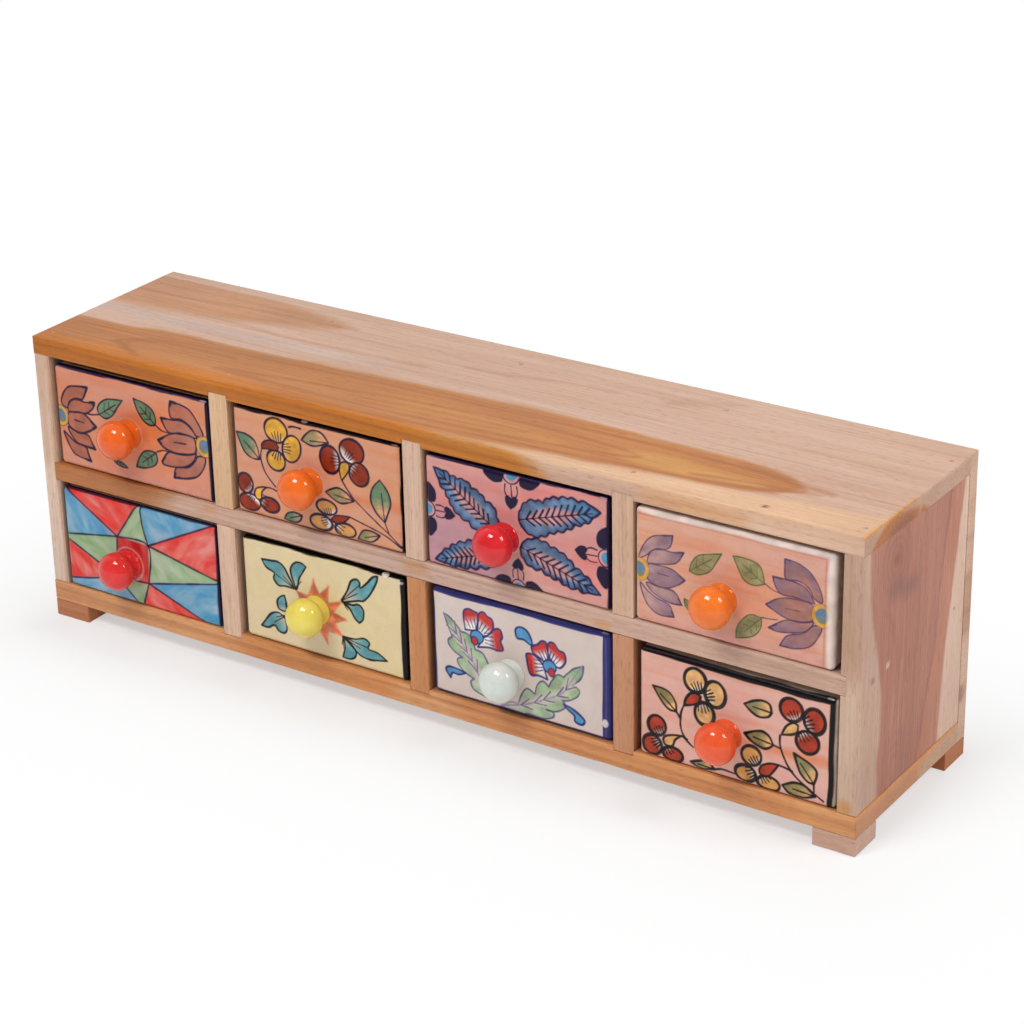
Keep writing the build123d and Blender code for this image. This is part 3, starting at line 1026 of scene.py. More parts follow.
def lower_paintings() -> list[Painting]:
    """Sketch the four lower fronts.

    Returns:
        The paintings, from left to right.
    """
    first = PinwheelFront(
        width=1227,
        knob=(515, 415),
        ground=(212, 110, 100),
        points={
            "nw": (-40, -40), "n": (630, -40), "ne": (1270, -40), "e": (1270, 370),
            "se": (1240, 720), "s": (600, 700), "foot": (-40, 720), "sw": (-40, 640), "w": (-40, 330),
            "ul": (430, 245), "ur": (680, 250), "lr": (665, 515), "ll": (400, 530),
            "bow": (645, 120), "sag": (200, 590),
        },
        patches="""
        nw ul w blue; nw n ul red; n ur ul green; n ne ur blue; ne e ur red; ur e lr green; e se lr blue;
        lr se s red; lr s ll green; ll s foot sw pale; w ll sw red; w ul ll green; ul ur lr ll heart""",
        lines="""
        ul ur lr* ll; ul ll; nw ul; w ul; n ul; n bow ur; ne ur; e ur; e lr; se lr; s lr; s ll; sw sag ll;
        w ll""",
    )
    second = StarburstFront(
        width=1215,
        knob=(555, 366),
        ground=(224, 205, 165),
        outline=Ink.BLACK,
        star="""
        540,165 580,255 650,185 645,290 740,268 685,350 770,378 690,420 735,492 635,490 625,575 560,500
        480,570 480,470 390,470 450,390 405,275 490,285""",
        sprigs=[
            ((400, 268), """
            395,265* 350,190 320,140 280,115 220,118 150,125* 180,170 240,195 235,235 270,272 320,265;
            405,265* 370,170 375,120 410,85 450,78 488,95* 460,140 430,190 415,250"""),
            ((745, 255), """
            745,250* 790,180 820,110 860,85 885,100 890,135 940,90 985,40 1020,28* 1010,70 960,160 910,215
            870,225 760,260; 750,258* 820,265 870,250 905,280 900,340 870,372* 840,350 800,290"""),
            ((742, 497), """
            745,495* 830,490 900,468 940,490 930,530 1000,540 1065,575* 1000,590 930,600 860,585 800,530;
            745,500* 755,560 735,635* 790,635 830,610 835,570 790,530"""),
            ((330, 455), """
            310,490* 260,460 200,480 150,540 120,580* 170,582 220,555 250,585 290,590 315,560; 300,440*
            260,430 252,380 280,345 310,330* 322,380 320,430"""),
        ],
    )
    third = BouquetFront(
        width=1228,
        height=686,
        knob=(547, 431),
        ground=(212, 196, 188),
        outline=Ink.COBALT,
        flowers=[
            ("""
            235,225* 225,160 228,105 260,85 300,92 325,100 325,150 310,215*; 320,215* 325,140 335,95 365,80
            390,100 425,115 430,165 400,220 360,235*; 355,250* 400,215 440,170 480,165 492,210 480,240
            498,290 460,305 400,300 320,318*""", (315, 252), (298, 282)),
            ("""
            700,250* 695,215 735,190 765,160 795,165 800,200 810,255 780,290*; 810,250* 805,190 820,155
            850,155 880,190 915,200 925,250 890,300 860,300*; 770,310* 710,265 660,270 660,310 670,370
            690,400 740,390 800,400*""", (815, 312), (828, 346)),
        ],
        sprays=[
            ("""
            82,155* 108,225 140,298* 112,320 114,354 152,390 208,415* 174,432 180,468 226,510 288,535*
            264,560 285,606 365,632* 440,540 404,440 382,395 352,350 300,338* 290,300 255,252 205,247*
            165,205 120,170""", "85,155 150,240 220,340 290,440 345,560"),
            ("""
            1045,250* 985,278 935,325 912,354* 868,350 832,395 808,442* 768,418 728,455 712,518* 658,496
            618,548 596,612* 545,615 500,645 465,668* 540,692 620,690 660,660 760,662 830,640 838,606
            788,598* 852,594 908,560 918,530 902,508* 952,492 1006,450 1014,408 968,390* 1014,350
            1038,305""", "1040,245 960,370 900,460 770,540 640,605 480,655"),
        ],
        buds="""
        700,205* 690,160 660,120 615,110 585,135 595,185 640,185 680,205; 230,512* 170,500 110,500 88,525
        120,570* 135,535 180,535; 905,530* 960,540 1020,570 1050,600 1030,630 985,620 980,585 940,560""",
    )
    fourth = PansyFront(
        width=1237,
        knob=(563, 399),
        ground=(223, 174, 160),
        outline=Ink.BLACK,
        line_width=17.0,
        leaf_foot=Ink.BUFF,
        leaf_inks=(Ink.OLIVE, Ink.SAGE),
        wide_border=True,
        pansies=[
            Pansy(
                [(360, 117, 70, 75), (487, 170, 65, 80), (420, 310, 62, 70)],
                "395,210* 370,195 330,205 300,250 292,290* 340,275 385,250", Ink.BUFF, Ink.RUSSET,
            ),
            Pansy(
                [(962, 132, 70, 70), (1105, 165, 65, 76), (1065, 305, 70, 68)],
                "1005,215* 970,210 930,245 905,300* 960,285 1000,260", Ink.RUSSET, Ink.BUFF,
            ),
            Pansy(
                [(115, 467, 58, 62), (85, 597, 62, 62), (220, 625, 65, 46)],
                "155,545* 170,520 220,500 275,490* 235,525 215,570 170,575", Ink.RUSSET, Ink.BUFF,
            ),
            Pansy(
                [(720, 485, 62, 60), (685, 605, 65, 50), (830, 630, 70, 45)],
                "770,560* 790,525 840,500 890,495* 860,545 830,580 780,585", Ink.OCHRE, Ink.RUSSET,
            ),
        ],
        leaves="""
        90,222* 120,270 160,320 200,345 240,345* 235,290 200,240 150,222; 670,175* 720,215 770,230 820,215
        840,185* 830,140 790,125 730,140; 675,357* 720,395 790,418 830,405 855,380* 830,335 790,315 740,325;
        985,395* 1010,470 1030,510 1070,545 1110,550* 1125,500 1120,460 1070,425; 915,612* 960,650 1040,655
        1120,625* 1060,580 990,575; 335,635* 400,660 490,640* 430,605""",
        stems="""
        290,290 270,350 270,440 300,500 350,540; 240,345 265,380; 275,490 310,502; 895,310 900,380 940,470
        1000,540 1100,600 1170,640; 855,380 897,388; 1110,550 1112,600; 890,495 930,500 975,510; 490,640
        540,625 615,630""",
    )
    return [first, second, third, fourth]


class Graph:
    """A node tree with a short way to add wired nodes."""

    def __init__(self, tree: Tree) -> None:
        """Take the tree over."""
        self.tree = tree

    def wire(self, node: bpy.types.Node, wires: Wires) -> None:
        """Set a node's inputs.

        Args:
            node: the node.
            wires: its inputs with the socket or the constant that each takes.
        """
        for key, value in wires.items():
            if isinstance(value, Socket):
                self.tree.links.new(value, node.inputs[key])
            else:
                node.inputs[key].default_value = value

    def add(self, kind: str, wires: Wires | None = None, out: str | int = 0, **settings: object) -> Socket:
        """Add one node.

        Args:
            kind: the node's type.
            wires: its inputs with the socket or the constant that each takes.
            out: the output that is wanted.
            settings: properties of the node.

        Returns:
            The output's socket.
        """
        node = self.tree.nodes.new(kind)
        for key, value in settings.items():
            setattr(node, key, value)
        self.wire(node, wires or {})
        return node.outputs[out]

    def noise(self, vector: Socket, scale: float, detail: float = 3.0, warp: float = 0.0) -> Socket:
        """Add a noise pattern of some frequency, number of finer layers and distortion."""
        wires = {"Vector": vector, "Scale": scale, "Detail": detail, "Distortion": warp}
        return self.add("ShaderNodeTexNoise", wires)

    def math(self, operation: str, first: object, second: object = 0.0) -> Socket:
        """Add one sum of two values or sockets."""
        return self.add("ShaderNodeMath", {0: first, 1: second}, operation=operation)

    def vector(self, operation: str, *values: object, out: str | int = 0) -> Socket:
        """Add one sum of vectors."""
        return self.add("ShaderNodeVectorMath", dict(enumerate(values)), out, operation=operation)

    def span(self, value: Socket, low: float, high: float, start: float, end: float) -> Socket:
        """Bring a value from the range low to high to the range start to end, and hold it there."""
        wires = {"Value": value, "From Min": low, "From Max": high, "To Min": start, "To Max": end}
        return self.add("ShaderNodeMapRange", wires)

    def mix(self, share: Socket, first: object, second: object, blend: str = "MULTIPLY") -> Socket:
        """Blend a share of the second colour into the first."""
        wires = {0: share, 6: first, 7: second}
        return self.add("ShaderNodeMix", wires, 2, data_type="RGBA", blend_type=blend)

    def bump(self, height: Socket, strength: float, distance: float) -> Socket:
        """Turn a height into a bumped normal."""
        return self.add("ShaderNodeBump", {"Height": height, "Strength": strength, "Distance": distance})

    def place(self) -> Socket:
        """Give the place on the object, in metres."""
        return self.add("ShaderNodeTexCoord", out="Object")

    def rays(self) -> tuple[Socket, Socket]:
        """Tell kinds of light rays apart.

        Returns:
            Whether a ray is the camera's own, and whether it was mirrored or has passed through.
        """
        path = self.add("ShaderNodeLightPath").node.outputs
        mirrored = self.math("MAXIMUM", path["Is Glossy Ray"], path["Is Transmission Ray"])
        return path["Is Camera Ray"], mirrored


def new_material(name: str) -> tuple[Material, Graph, bpy.types.Node]:
    """Start a material.

    Args:
        name: its name.

    Returns:
        The material, its graph and its surface shader.
    """
    material = bpy.data.materials.new(name)
    material.use_nodes = True
    return material, Graph(material.node_tree), material.node_tree.nodes["Principled BSDF"]


@dataclass(frozen=True)
class WoodFinish:
    """Sanded, lightly oiled wood whose broad colours are painted on the board."""

    name: str
    grain: Grain
    figure: float
    roughness: float = 0.5

    def material(self) -> Material:
        """Build the finish.

        Returns:
            Wood with fibres, growth lines and pores along the grain.
        """
        material, graph, shader = new_material(f"{self.name}_{self.grain.name.lower()}_grain")
        fibre = graph.noise(self.stretched(graph, 60), 1.0, 5)
        bands = graph.noise(self.stretched(graph, 45), 0.1, 2, 0.3)
        bands = graph.math("PINGPONG", graph.math("MULTIPLY", bands, 9.0), 0.5)
        lines = graph.span(bands, 0.0, 0.2, 1.0, 0.0)
        pores = graph.span(graph.noise(self.stretched(graph, 7), 1.3, 3), 0.54, 0.7, 0.0, 1.0)
        broad = graph.noise(self.stretched(graph, 5), 0.035, 3, 0.8)
        tone = graph.add("ShaderNodeAttribute", out="Color", attribute_name="tone")
        tone = graph.mix(graph.span(broad, 0.42, 0.7, 0.0, 0.34), tone, shade((226, 206, 190)))
        tone = graph.mix(graph.math("MULTIPLY", lines, self.figure), tone, shade((206, 170, 144)))
        tone = graph.mix(graph.span(fibre, 0.35, 0.68, 0.26, 0.0), tone, shade((214, 190, 172)))
        tone = graph.mix(graph.math("MULTIPLY", pores, 0.3), tone, shade((176, 136, 108)))
        relief = graph.math("SUBTRACT", fibre, graph.math("MULTIPLY", pores, 0.6))
        wires = {
            "Base Color": tone,
            "Roughness": graph.span(fibre, 0.3, 0.7, self.roughness + 0.1, self.roughness - 0.06),
            "Normal": graph.bump(relief, 0.12, 0.0003),
            "Specular IOR Level": 0.35,
        }
        graph.wire(shader, wires)
        return material

    def stretched(self, graph: Graph, length: float) -> Socket:
        """Give coordinates in millimetres, in which a pattern is some times longer along the grain."""
        scale = [1 / MM / (length if axis == self.grain.value else 1) for axis in range(3)]
        return graph.add("ShaderNodeMapping", {"Vector": graph.place(), "Scale": scale})


@dataclass(frozen=True)
class GlazeFinish:
    """Fired glaze, glossy and a little uneven; without a colour of its own it takes the painting's."""

    name: str
    colour: Colour | None = None
    pooled: Colour | None = None
    roughness: float = 0.13
    gloss: float = 0.5

    def material(self) -> Material:
        """Build the finish.

        Returns:
            Glaze with pooled colour, pinholes and a soft ripple.
        """
        material, graph, shader = new_material(self.name)
        place = graph.place()
        cloud = graph.noise(place, 140.0, 3, 0.4)
        if self.colour is None:
            base = graph.add("ShaderNodeAttribute", out="Color", attribute_name="paint")
            base = graph.mix(graph.span(cloud, 0.4, 0.7, 0.0, 0.16), base, shade((222, 206, 196)))
        else:
            pool = graph.span(cloud, 0.32, 0.68, 0.0, 1.0)
            base = graph.mix(pool, shade(self.colour), shade(self.pooled), "MIX")
        specks = graph.span(graph.noise(place, 1500.0, 1), 0.72, 0.78, 0.0, 0.45)
        dull = graph.noise(place, 330.0, 2)
        fine = graph.math("MULTIPLY", graph.noise(place, 700.0, 1), 0.12)
        ripple = graph.math("ADD", graph.noise(place, 90.0, 2), fine)
        wires = {
            "Base Color": graph.mix(specks, base, shade((120, 84, 70))),
            "Roughness": graph.span(dull, 0.3, 0.7, self.roughness - 0.03, self.roughness + 0.08),
            "Normal": graph.bump(ripple, 0.07, 0.0012),
            "Specular IOR Level": self.gloss,
        }
        graph.wire(shader, wires)
        return material


@dataclass(frozen=True)
class SteelFinish:
    """Plain drawn steel with dull patches."""

    name: str
    colour: Colour
    tarnish: Colour
    roughness: float = 0.34

    def material(self) -> Material:
        """Build the finish.

        Returns:
            Steel with tarnish and fine scratches.
        """
        material, graph, shader = new_material(self.name)
        place = graph.place()
        patches = graph.span(graph.noise(place, 420.0, 4), 0.42, 0.66, 0.0, 1.0)
        wires = {
            "Base Color": graph.mix(patches, shade(self.colour), shade(self.tarnish), "MIX"),
            "Roughness": graph.span(patches, 0.0, 1.0, self.roughness, self.roughness + 0.25),
            "Normal": graph.bump(graph.noise(place, 2600.0, 3), 0.15, 0.0002),
            "Metallic": 1.0,
        }
        graph.wire(shader, wires)
        return material


@dataclass(frozen=True)
class FillerFinish:
    """Dried wood filler, matt and chalky."""

    name: str = "wood_filler"
    colour: Colour = (182, 134, 94)
    pale: Colour = (200, 156, 116)
    roughness: float = 0.8

    def material(self) -> Material:
        """Build the finish.

        Returns:
            Filler that is paler in patches.
        """
        material, graph, shader = new_material(self.name)
        place = graph.place()
        patches = graph.span(graph.noise(place, 260.0, 4), 0.35, 0.65, 0.0, 1.0)
        wires = {
            "Base Color": graph.mix(patches, shade(self.colour), shade(self.pale), "MIX"),
            "Roughness": self.roughness,
            "Normal": graph.bump(graph.noise(place, 3000.0, 3), 0.3, 0.0002),
        }
        graph.wire(shader, wires)
        return material


def add_mesh(name: str, points: Array, faces: list, material: Material) -> Piece:
    """Make a smooth-shaded mesh object.

    Args:
        name: the object's name.
        points: its points in metres.
        faces: its faces, as point numbers.
        material: its finish.

    Returns:
        The object, in the scene.
    """
    mesh = bpy.data.meshes.new(name)
    mesh.from_pydata(points.tolist(), [], faces)
    mesh.polygons.foreach_set("use_smooth", np.ones(len(mesh.polygons), bool))
    mesh.materials.append(material)
    piece = bpy.data.objects.new(name, mesh)
    bpy.context.scene.collection.objects.link(piece)
    return piece


def paint_points(piece: Piece, name: str, colours: Array) -> None:
    """Store one linear colour for each point of a mesh, under a name."""
    layer = piece.data.color_attributes.new(name, "FLOAT_COLOR", "POINT")
    layer.data.foreach_set("color", colours.astype(np.float32).ravel())


def corners_mm(node: str) -> list[Array]:
    """Give the lowest and the highest corner of a solid's box in millimetres."""
    return [np.array(corner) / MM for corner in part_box(node)]


def settle(piece: Piece, body: str, nodes: tuple[str, ...] = ()) -> None:
    """Put a finished piece on its body and log it.

    Args:
        piece: the object.
        body: the body that it moves with.
        nodes: the solids that it stands for.
    """
    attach(piece, body)
    if nodes:
        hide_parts(*nodes)
    log.info("%s rides on %s with %d faces", piece.name, body, len(piece.data.polygons))


@dataclass
class Patch:
    """A broad stain of one colour on a board, in millimetres along and across it."""

    outline: Sketch
    ink: Colour
    soft: float
    cover: float = 1.0


@dataclass
class Streak:
    """A line of darker or paler wood on a board."""

    path: Sketch
    ink: Colour
    width: float
    soft: float
    cover: float = 0.8


@dataclass
class Brad:
    """A nail's head: where it is and which way it faces."""

    place: Place
    facing: Place


@dataclass
class Board:
    """One wooden board or foot, with its edges eased by hand and its figure painted along the grain."""

    node: str
    slot: str
    grain: Grain
    across: Grain
    face: int
    ground: Colour
    housed: tuple[str, ...] = ()
    patches: list[Patch] = field(default_factory=list)
    streaks: list[Streak] = field(default_factory=list)
    pitch: float = 1.8
    easing: float = 0.8
    # how much shade is painted onto the wood deep inside the openings
    painted_recess_shade: float = 0.5
    dent_radius: float = 2.4
    dent_depth: float = 0.18
    seed: int = 1

    def __post_init__(self) -> None:
        """Look up the board's lowest and highest corner in millimetres."""
        self.low, self.high = corners_mm(self.node)

    def build(self, finish: Material, brads: list[Brad]) -> Piece:
        """Make the board.

        Args:
            finish: its wood.
            brads: every nail of the cabinet; those in this board leave a dent.

        Returns:
            The board's object.
        """
        points, faces = self.skin()
        eased = self.ease(points)
        for brad in brads:
            near = np.linalg.norm(eased - np.array(brad.place), axis=1) / self.dent_radius
            eased -= np.outer(self.dent_depth * np.clip(1 - near**2, 0, 1), brad.facing)
        piece = add_mesh(f"wood_{self.node}", eased * MM, faces.tolist(), finish)
        colours = self.paint(*self.unrolled(points))
        # painted shade: the wood darkens the deeper it lies inside the cabinet's openings, where shade falls
        colours[:, :3] *= 1 - self.painted_recess_shade * self.recess_shade_share(eased)[:, None]
        paint_points(piece, "tone", colours)
        return piece

    @staticmethod
    def recess_shade_share(points: Array) -> Array:
        """Tell how deep inside the cabinet points are, for the shade painted into its openings.

        Args:
            points: places in millimetres.

        Returns:
            Shares of painted shade, from 0 on the outside to 1 deep inside the openings.
        """
        low = corners_mm("bottom_board")[0]
        high = corners_mm("back_panel")[1]
        depth = np.minimum(points - low, high - points).min(1)
        return np.clip((depth - 1.0) / 4.0, 0, 1)

    def notches(self) -> list[tuple[Array, Array]]:
        """Find the grooves that other boards are let into.

        Returns:
            The lowest and highest corner of each groove, which runs the whole depth.
        """
        grooves = []
        for other in self.housed:
            other_low, other_high = corners_mm(other)
            start = np.maximum(self.low, other_low)
            end = np.minimum(self.high, other_high)
            start[1], end[1] = self.low[1], self.high[1]
            grooves.append((start, end))
        return grooves

    def ticks(self, axis: int, cuts: list[float]) -> Array:
        """Divide one side of the board, finely at its edges.

        Args:
            axis: the side's direction.
            cuts: places that need a line.

        Returns:
            The dividing lines in order.
        """
        start, end = self.low[axis], self.high[axis]
        edge = (0.0, 0.3 * self.easing, self.easing)
        fixed = [start + e for e in edge] + [end - e for e in edge]
        for cut in cuts:
            fixed += [cut + e for e in (-0.5, 0.0, 0.5) if start <= cut + e <= end]
        fixed = np.unique(np.round(fixed, 4))
        lines = [fixed[:1]]
        for first, second in zip(fixed[:-1], fixed[1:]):
            count = max(1, int(round((second - first) / self.pitch)))
            lines.append(np.linspace(first, second, count + 1)[1:])
        return np.concatenate(lines)

    def skin(self) -> tuple[Array, Array]:
        """Skin the board's cells, leaving out its grooves.

        Returns:
            The points and the four point numbers of each face.
        """
        notches = self.notches()
        lines = []
        for axis in range(3):
            cuts = [corner[axis] for groove in notches for corner in groove if axis != 1]
            cuts = [cut for cut in cuts if self.low[axis] + 0.01 < cut < self.high[axis] - 0.01]
            lines.append(self.ticks(axis, cuts))
        middles = np.meshgrid(*[(line[:-1] + line[1:]) / 2 for line in lines], indexing="ij")
        middles = np.stack(middles, axis=-1)
        solid = np.ones(middles.shape[:3], bool)
        for start, end in notches:
            solid &= ~((middles > start) & (middles < end)).all(-1)
        padded = np.pad(solid, 1)
        shape = [len(line) for line in lines]
        quads = []
        for axis in range(3):
            for side in (0, 1):
                beside = np.roll(padded, 1 - 2 * side, axis)[1:-1, 1:-1, 1:-1]
                cells = np.argwhere(solid & ~beside)
                cells[:, axis] += side
                second, third = (axis + 1) % 3, (axis + 2) % 3
                turns = []
                for step_second, step_third in ((0, 0), (1, 0), (1, 1), (0, 1)):
                    corner = cells.copy()
                    corner[:, second] += step_second
                    corner[:, third] += step_third
                    turns.append(np.ravel_multi_index(corner.T, shape))
                quad = np.stack(turns, axis=1)
                quads.append(quad if side else quad[:, ::-1])
        used, faces = np.unique(np.concatenate(quads), return_inverse=True)
        index = np.unravel_index(used, shape)
        points = np.stack([lines[axis][index[axis]] for axis in range(3)], axis=1)
        return points, faces.reshape(-1, 4)

    def ease(self, points: Array) -> Array:
        """Round the board's outer edges unevenly.

        Args:
            points: the skin's points.

        Returns:
            The moved points.
        """
        x, y, z = points.T
        waver = Field(self.seed + 50).cloud(x / 11 + z / 7, y / 9 + z / 13)
        radius = self.easing * (0.85 + 0.35 * waver + 1.1 * np.clip(waver - 0.5, 0, 1))[:, None]
        core = np.clip(points, self.low + radius, self.high - radius)
        reach = points - core
        length = np.linalg.norm(reach, axis=1, keepdims=True)
        outer = (np.abs(points - self.low) < TINY) | (np.abs(points - self.high) < TINY)
        moved = core + reach * (radius / np.maximum(length, 1e-9))
        return np.where(outer.any(1, keepdims=True) & (length > radius), moved, points)

    def unrolled(self, points: Array) -> list[Array]:
        """Unroll the board's edges round its show face.

        Args:
            points: the skin's points.

        Returns:
            Places along and across the board; the edges lie past its ends and sides.
        """
        thick = 3 - self.grain.value - self.across.value
        shown = self.high[thick] if self.face > 0 else self.low[thick]
        depth = np.abs(points[:, thick] - shown)
        places = []
        for axis in (self.grain.value, self.across.value):
            place = points[:, axis] - self.low[axis]
            size = self.high[axis] - self.low[axis]
            place = np.where(place < TINY, -depth, place)
            places.append(np.where(place > size - TINY, size + depth, place))
        return places

    def paint(self, along: Array, across: Array) -> Array:
        """Paint the board's broad figure.

        Args:
            along: places along the grain.
            across: places across it.

        Returns:
            Linear colours with alpha.
        """
        canvas = Canvas(ground=self.ground)
        canvas.spread(along, across, self.seed)
        darker = np.floor(pigment(self.ground) * (0.91, 0.86, 0.82))
        paler = np.floor(pigment(self.ground) * (1.05, 1.07, 1.1)).clip(0, 255)
        canvas.wash(darker, (150, 6), 0.5)
        canvas.wash(paler, (210, 8), 0.4, shift=6)
        for patch in self.patches:
            canvas.fill(patch.outline, patch.ink, soft=patch.soft, cover=patch.cover, uneven=0.05)
        for streak in self.streaks:
            canvas.line(streak.path, streak.ink, streak.width, streak.soft, streak.cover)
        return canvas.linear()


def top_board() -> Board:
    """Describe the top board.

    Returns:
        A board with a golden heart along its front edge.
    """
    heart = """
    -12,32 34,36.8 59,41.8 125,42.8 187,46.2 266,50 344,48.7 406,45.5 428,38 430,28 408,17.8 344,10.9
    281,5.3 231,0 225,-12* -12,-12*"""
    swirl = "41,17 62,30 125,36 219,40 330,42 400,40 434,31 400,20 320,13 250,7 150,2"
    eye = "150,20 220,28 300,33 350,26 300,17 220,12 160,12 110,14 150,20"
    arch = "491,5* 485,13 480.5,25 482,40 486,55 491,66*"
    return Board(
        "top_board", "golden_wood", Grain.LENGTH, Grain.DEPTH, 1, (210, 175, 154),
        housed=("upper_divider_1", "upper_divider_2", "upper_divider_3"), pitch=1.5, seed=3,
        patches=[
            Patch("-12,66 -12,108 70,107 125,98 130,88 90,76 60,68", (198, 146, 108), 9),
            Patch(heart, (190, 126, 68), 3),
            Patch("-12,-12* 280,-12* 230,4 120,7 -12,8", (197, 118, 30), 5),
            Patch("240,-12* 312,-12* 296,-0.5* 240,-0.5*", (197, 123, 38), 12),
            Patch("388,-12* 490,-12* 490,-0.5* 384,-0.5*", (223, 188, 162), 10),
            Patch(ring((394, -5), (26, 5)), (212, 162, 118), 12, 0.85),
            Patch(ring((375, 26), (40, 7)), (205, 150, 84), 6),
            Patch(ring((225, 22), (85, 7)), (199, 137, 72), 7, 0.7),
            Patch("281,4 344,9.5 412,16.5 484,22 484,-0.3* 300,-0.3*", (218, 180, 145), 4),
            Patch("-12,108* 490,108.5* 490,126* -12,126*", (215, 187, 175), 3),
            Patch("481,-12* 492,-12* 492,126* 481,126*", (191, 155, 132), 1.5),
            Patch(arch, (180, 112, 60), 2),
            Patch(ring((487.5, 35), (1.8, 12)), (126, 84, 76), 4, 0.6),
            Patch(ring((426.5, 7.5), (1.1, 1.1)), (120, 72, 50), 1.2),
        ],
        streaks=[
            Streak("-10,56 60,55 120,57 180,60", (198, 176, 168), 9, 7),
            Streak("170,59 330,60 490,54", (198, 166, 153), 1.6, 2),
            Streak("-10,84 40,86 78,90 130,91", (156, 108, 76), 1.4, 3, 0.6),
            Streak("-10,71 60,69 120,66 200,68", (184, 140, 112), 2, 3),
            Streak("-10,97 70,97 140,93", (172, 126, 98), 1.6, 3, 0.6),
            Streak("219,78 240,80 270,86 300,88", (194, 152, 132), 3, 4),
            Streak("330,90 345,99 360,105", (178, 138, 124), 5, 9, 0.5),
            Streak(swirl, (160, 96, 50), 1.6, 2.5),
            Streak("-8,26 50,32 125,39.5 219,43 330,46", (166, 102, 56), 1.2, 2.5, 0.7),
            Streak(eye, (162, 98, 52), 1.6, 2.5),
            Streak("190,19 240,23 290,24 250,18 195,16", (168, 104, 58), 1.4, 2, 0.7),
            Streak("60,10 48,18 62,27 110,29", (150, 90, 48), 1.6, 4, 0.6),
            Streak("42,18 52,12 64,7", (144, 86, 46), 1.8, 4, 0.6),
            Streak("396,44 420,38 446,34", (164, 104, 60), 2.6, 5, 0.7),
            Streak("380,22 408,27 442,30", (158, 98, 54), 1.6, 3, 0.7),
            Streak("372,16 396,19 424,22", (168, 108, 64), 2.0, 4, 0.6),
            Streak("-4,-4 90,-4.5 190,-3.6 310,-5", (150, 86, 42), 1.4, 2, 0.7),
            Streak("-4,-7.5 120,-7 230,-7.8", (158, 92, 46), 1.0, 1.5, 0.6),
            Streak([(480, 0), (480.3, 50)], (212, 140, 55), 1.4, 1.2),
        ],
    )


def right_side() -> Board:
    """Describe the right side.

    Returns:
        A board with a red heart and two knots.
    """
    heart = """
    140,6.6* 101.8,9 76.8,16 51.8,21 33,21.6 20.5,19.7 -10,20.3* -10,82* 20.5,84 41.8,86 74.3,91.6 99.3,96
    140,103*"""
    light = "-10,59* 27,67 52,75 74,77 99,82 140,90* 140,103* 99,95.5 74,91 42,85.5 -10,81.5*"
    board = Board(
        "right_side", "red_wood", Grain.HEIGHT, Grain.DEPTH, 1, (204, 170, 150),
        housed=("shelf",), pitch=1.5, seed=5,
        patches=[
            Patch("-10,84* 140,84* 140,126* -10,126*", (220, 189, 169), 6),
            Patch("-10,0* 140,0* 140,16* -10,24*", (196, 162, 142), 4),
            Patch(heart, (178, 120, 100), 1.8),
            Patch(light, (188, 128, 104), 3),
            Patch(ring((101.8, 33), (5, 7)), (146, 100, 92), 7, 0.8),
            Patch(ring((98, 47), (4, 9)), (146, 100, 92), 7, 0.8),
            Patch(ring((116, 32.5), (4, 4)), (150, 98, 74), 4),
            Patch(ring((65.5, 27.2), (1.8, 1.1)), (226, 216, 202), 0.9),
            Patch(ring((64, 12.5), (1, 1)), (140, 95, 75), 1.2),
            Patch("78,-12* 140,-12* 140,-0.4* 78,-0.4*", (184, 149, 124), 12, 0.8),
            Patch("-5,-12* 66,-12* 66,0* -5,0*", (211, 184, 162), 8),
            Patch(ring((133, -8), (3, 2)), (206, 130, 52), 3, 0.7),
            Patch(ring((3, -6), (4, 4)), (206, 132, 54), 4, 0.6),
        ],
        streaks=[
            Streak("-8,58.5 27,67 52,75 74,77.5 99,81.5 136,88", (146, 97, 84), 1.4, 2.2),
            Streak("94,22 88,29 77,33 64,37 40,42 -6,44", (150, 103, 88), 1.2, 2.5, 0.7),
            Streak("62,41 42,40.4 23,39.5", (203, 155, 122), 1.4, 2.2, 0.7),
            Streak([(50, 35), (32, 33)], (203, 155, 122), 1.2, 2, 0.6),
            Streak([(48, 46), (28, 45)], (203, 155, 122), 1.2, 2, 0.6),
            Streak("136,60 100,58 60,56 20,52 -8,50", (156, 108, 94), 1.4, 3, 0.6),
            Streak("136,70 100,69 60,66 20,60", (184, 132, 112), 2.0, 4, 0.6),
        ],
    )
    for radius in (6, 9.5, 13.5):
        knot = ring((116, 32.5), (radius * 1.15, radius))
        board.streaks.append(Streak(knot + knot[:1], (146, 98, 84), 1.3, 2.5, 0.65))
    for radius in (5, 9, 13):
        swirl = ring((8, 37), (radius * 1.4, radius))
        board.streaks.append(Streak(swirl + swirl[:1], (150, 102, 87), 1.3, 3, 0.6))
    return board


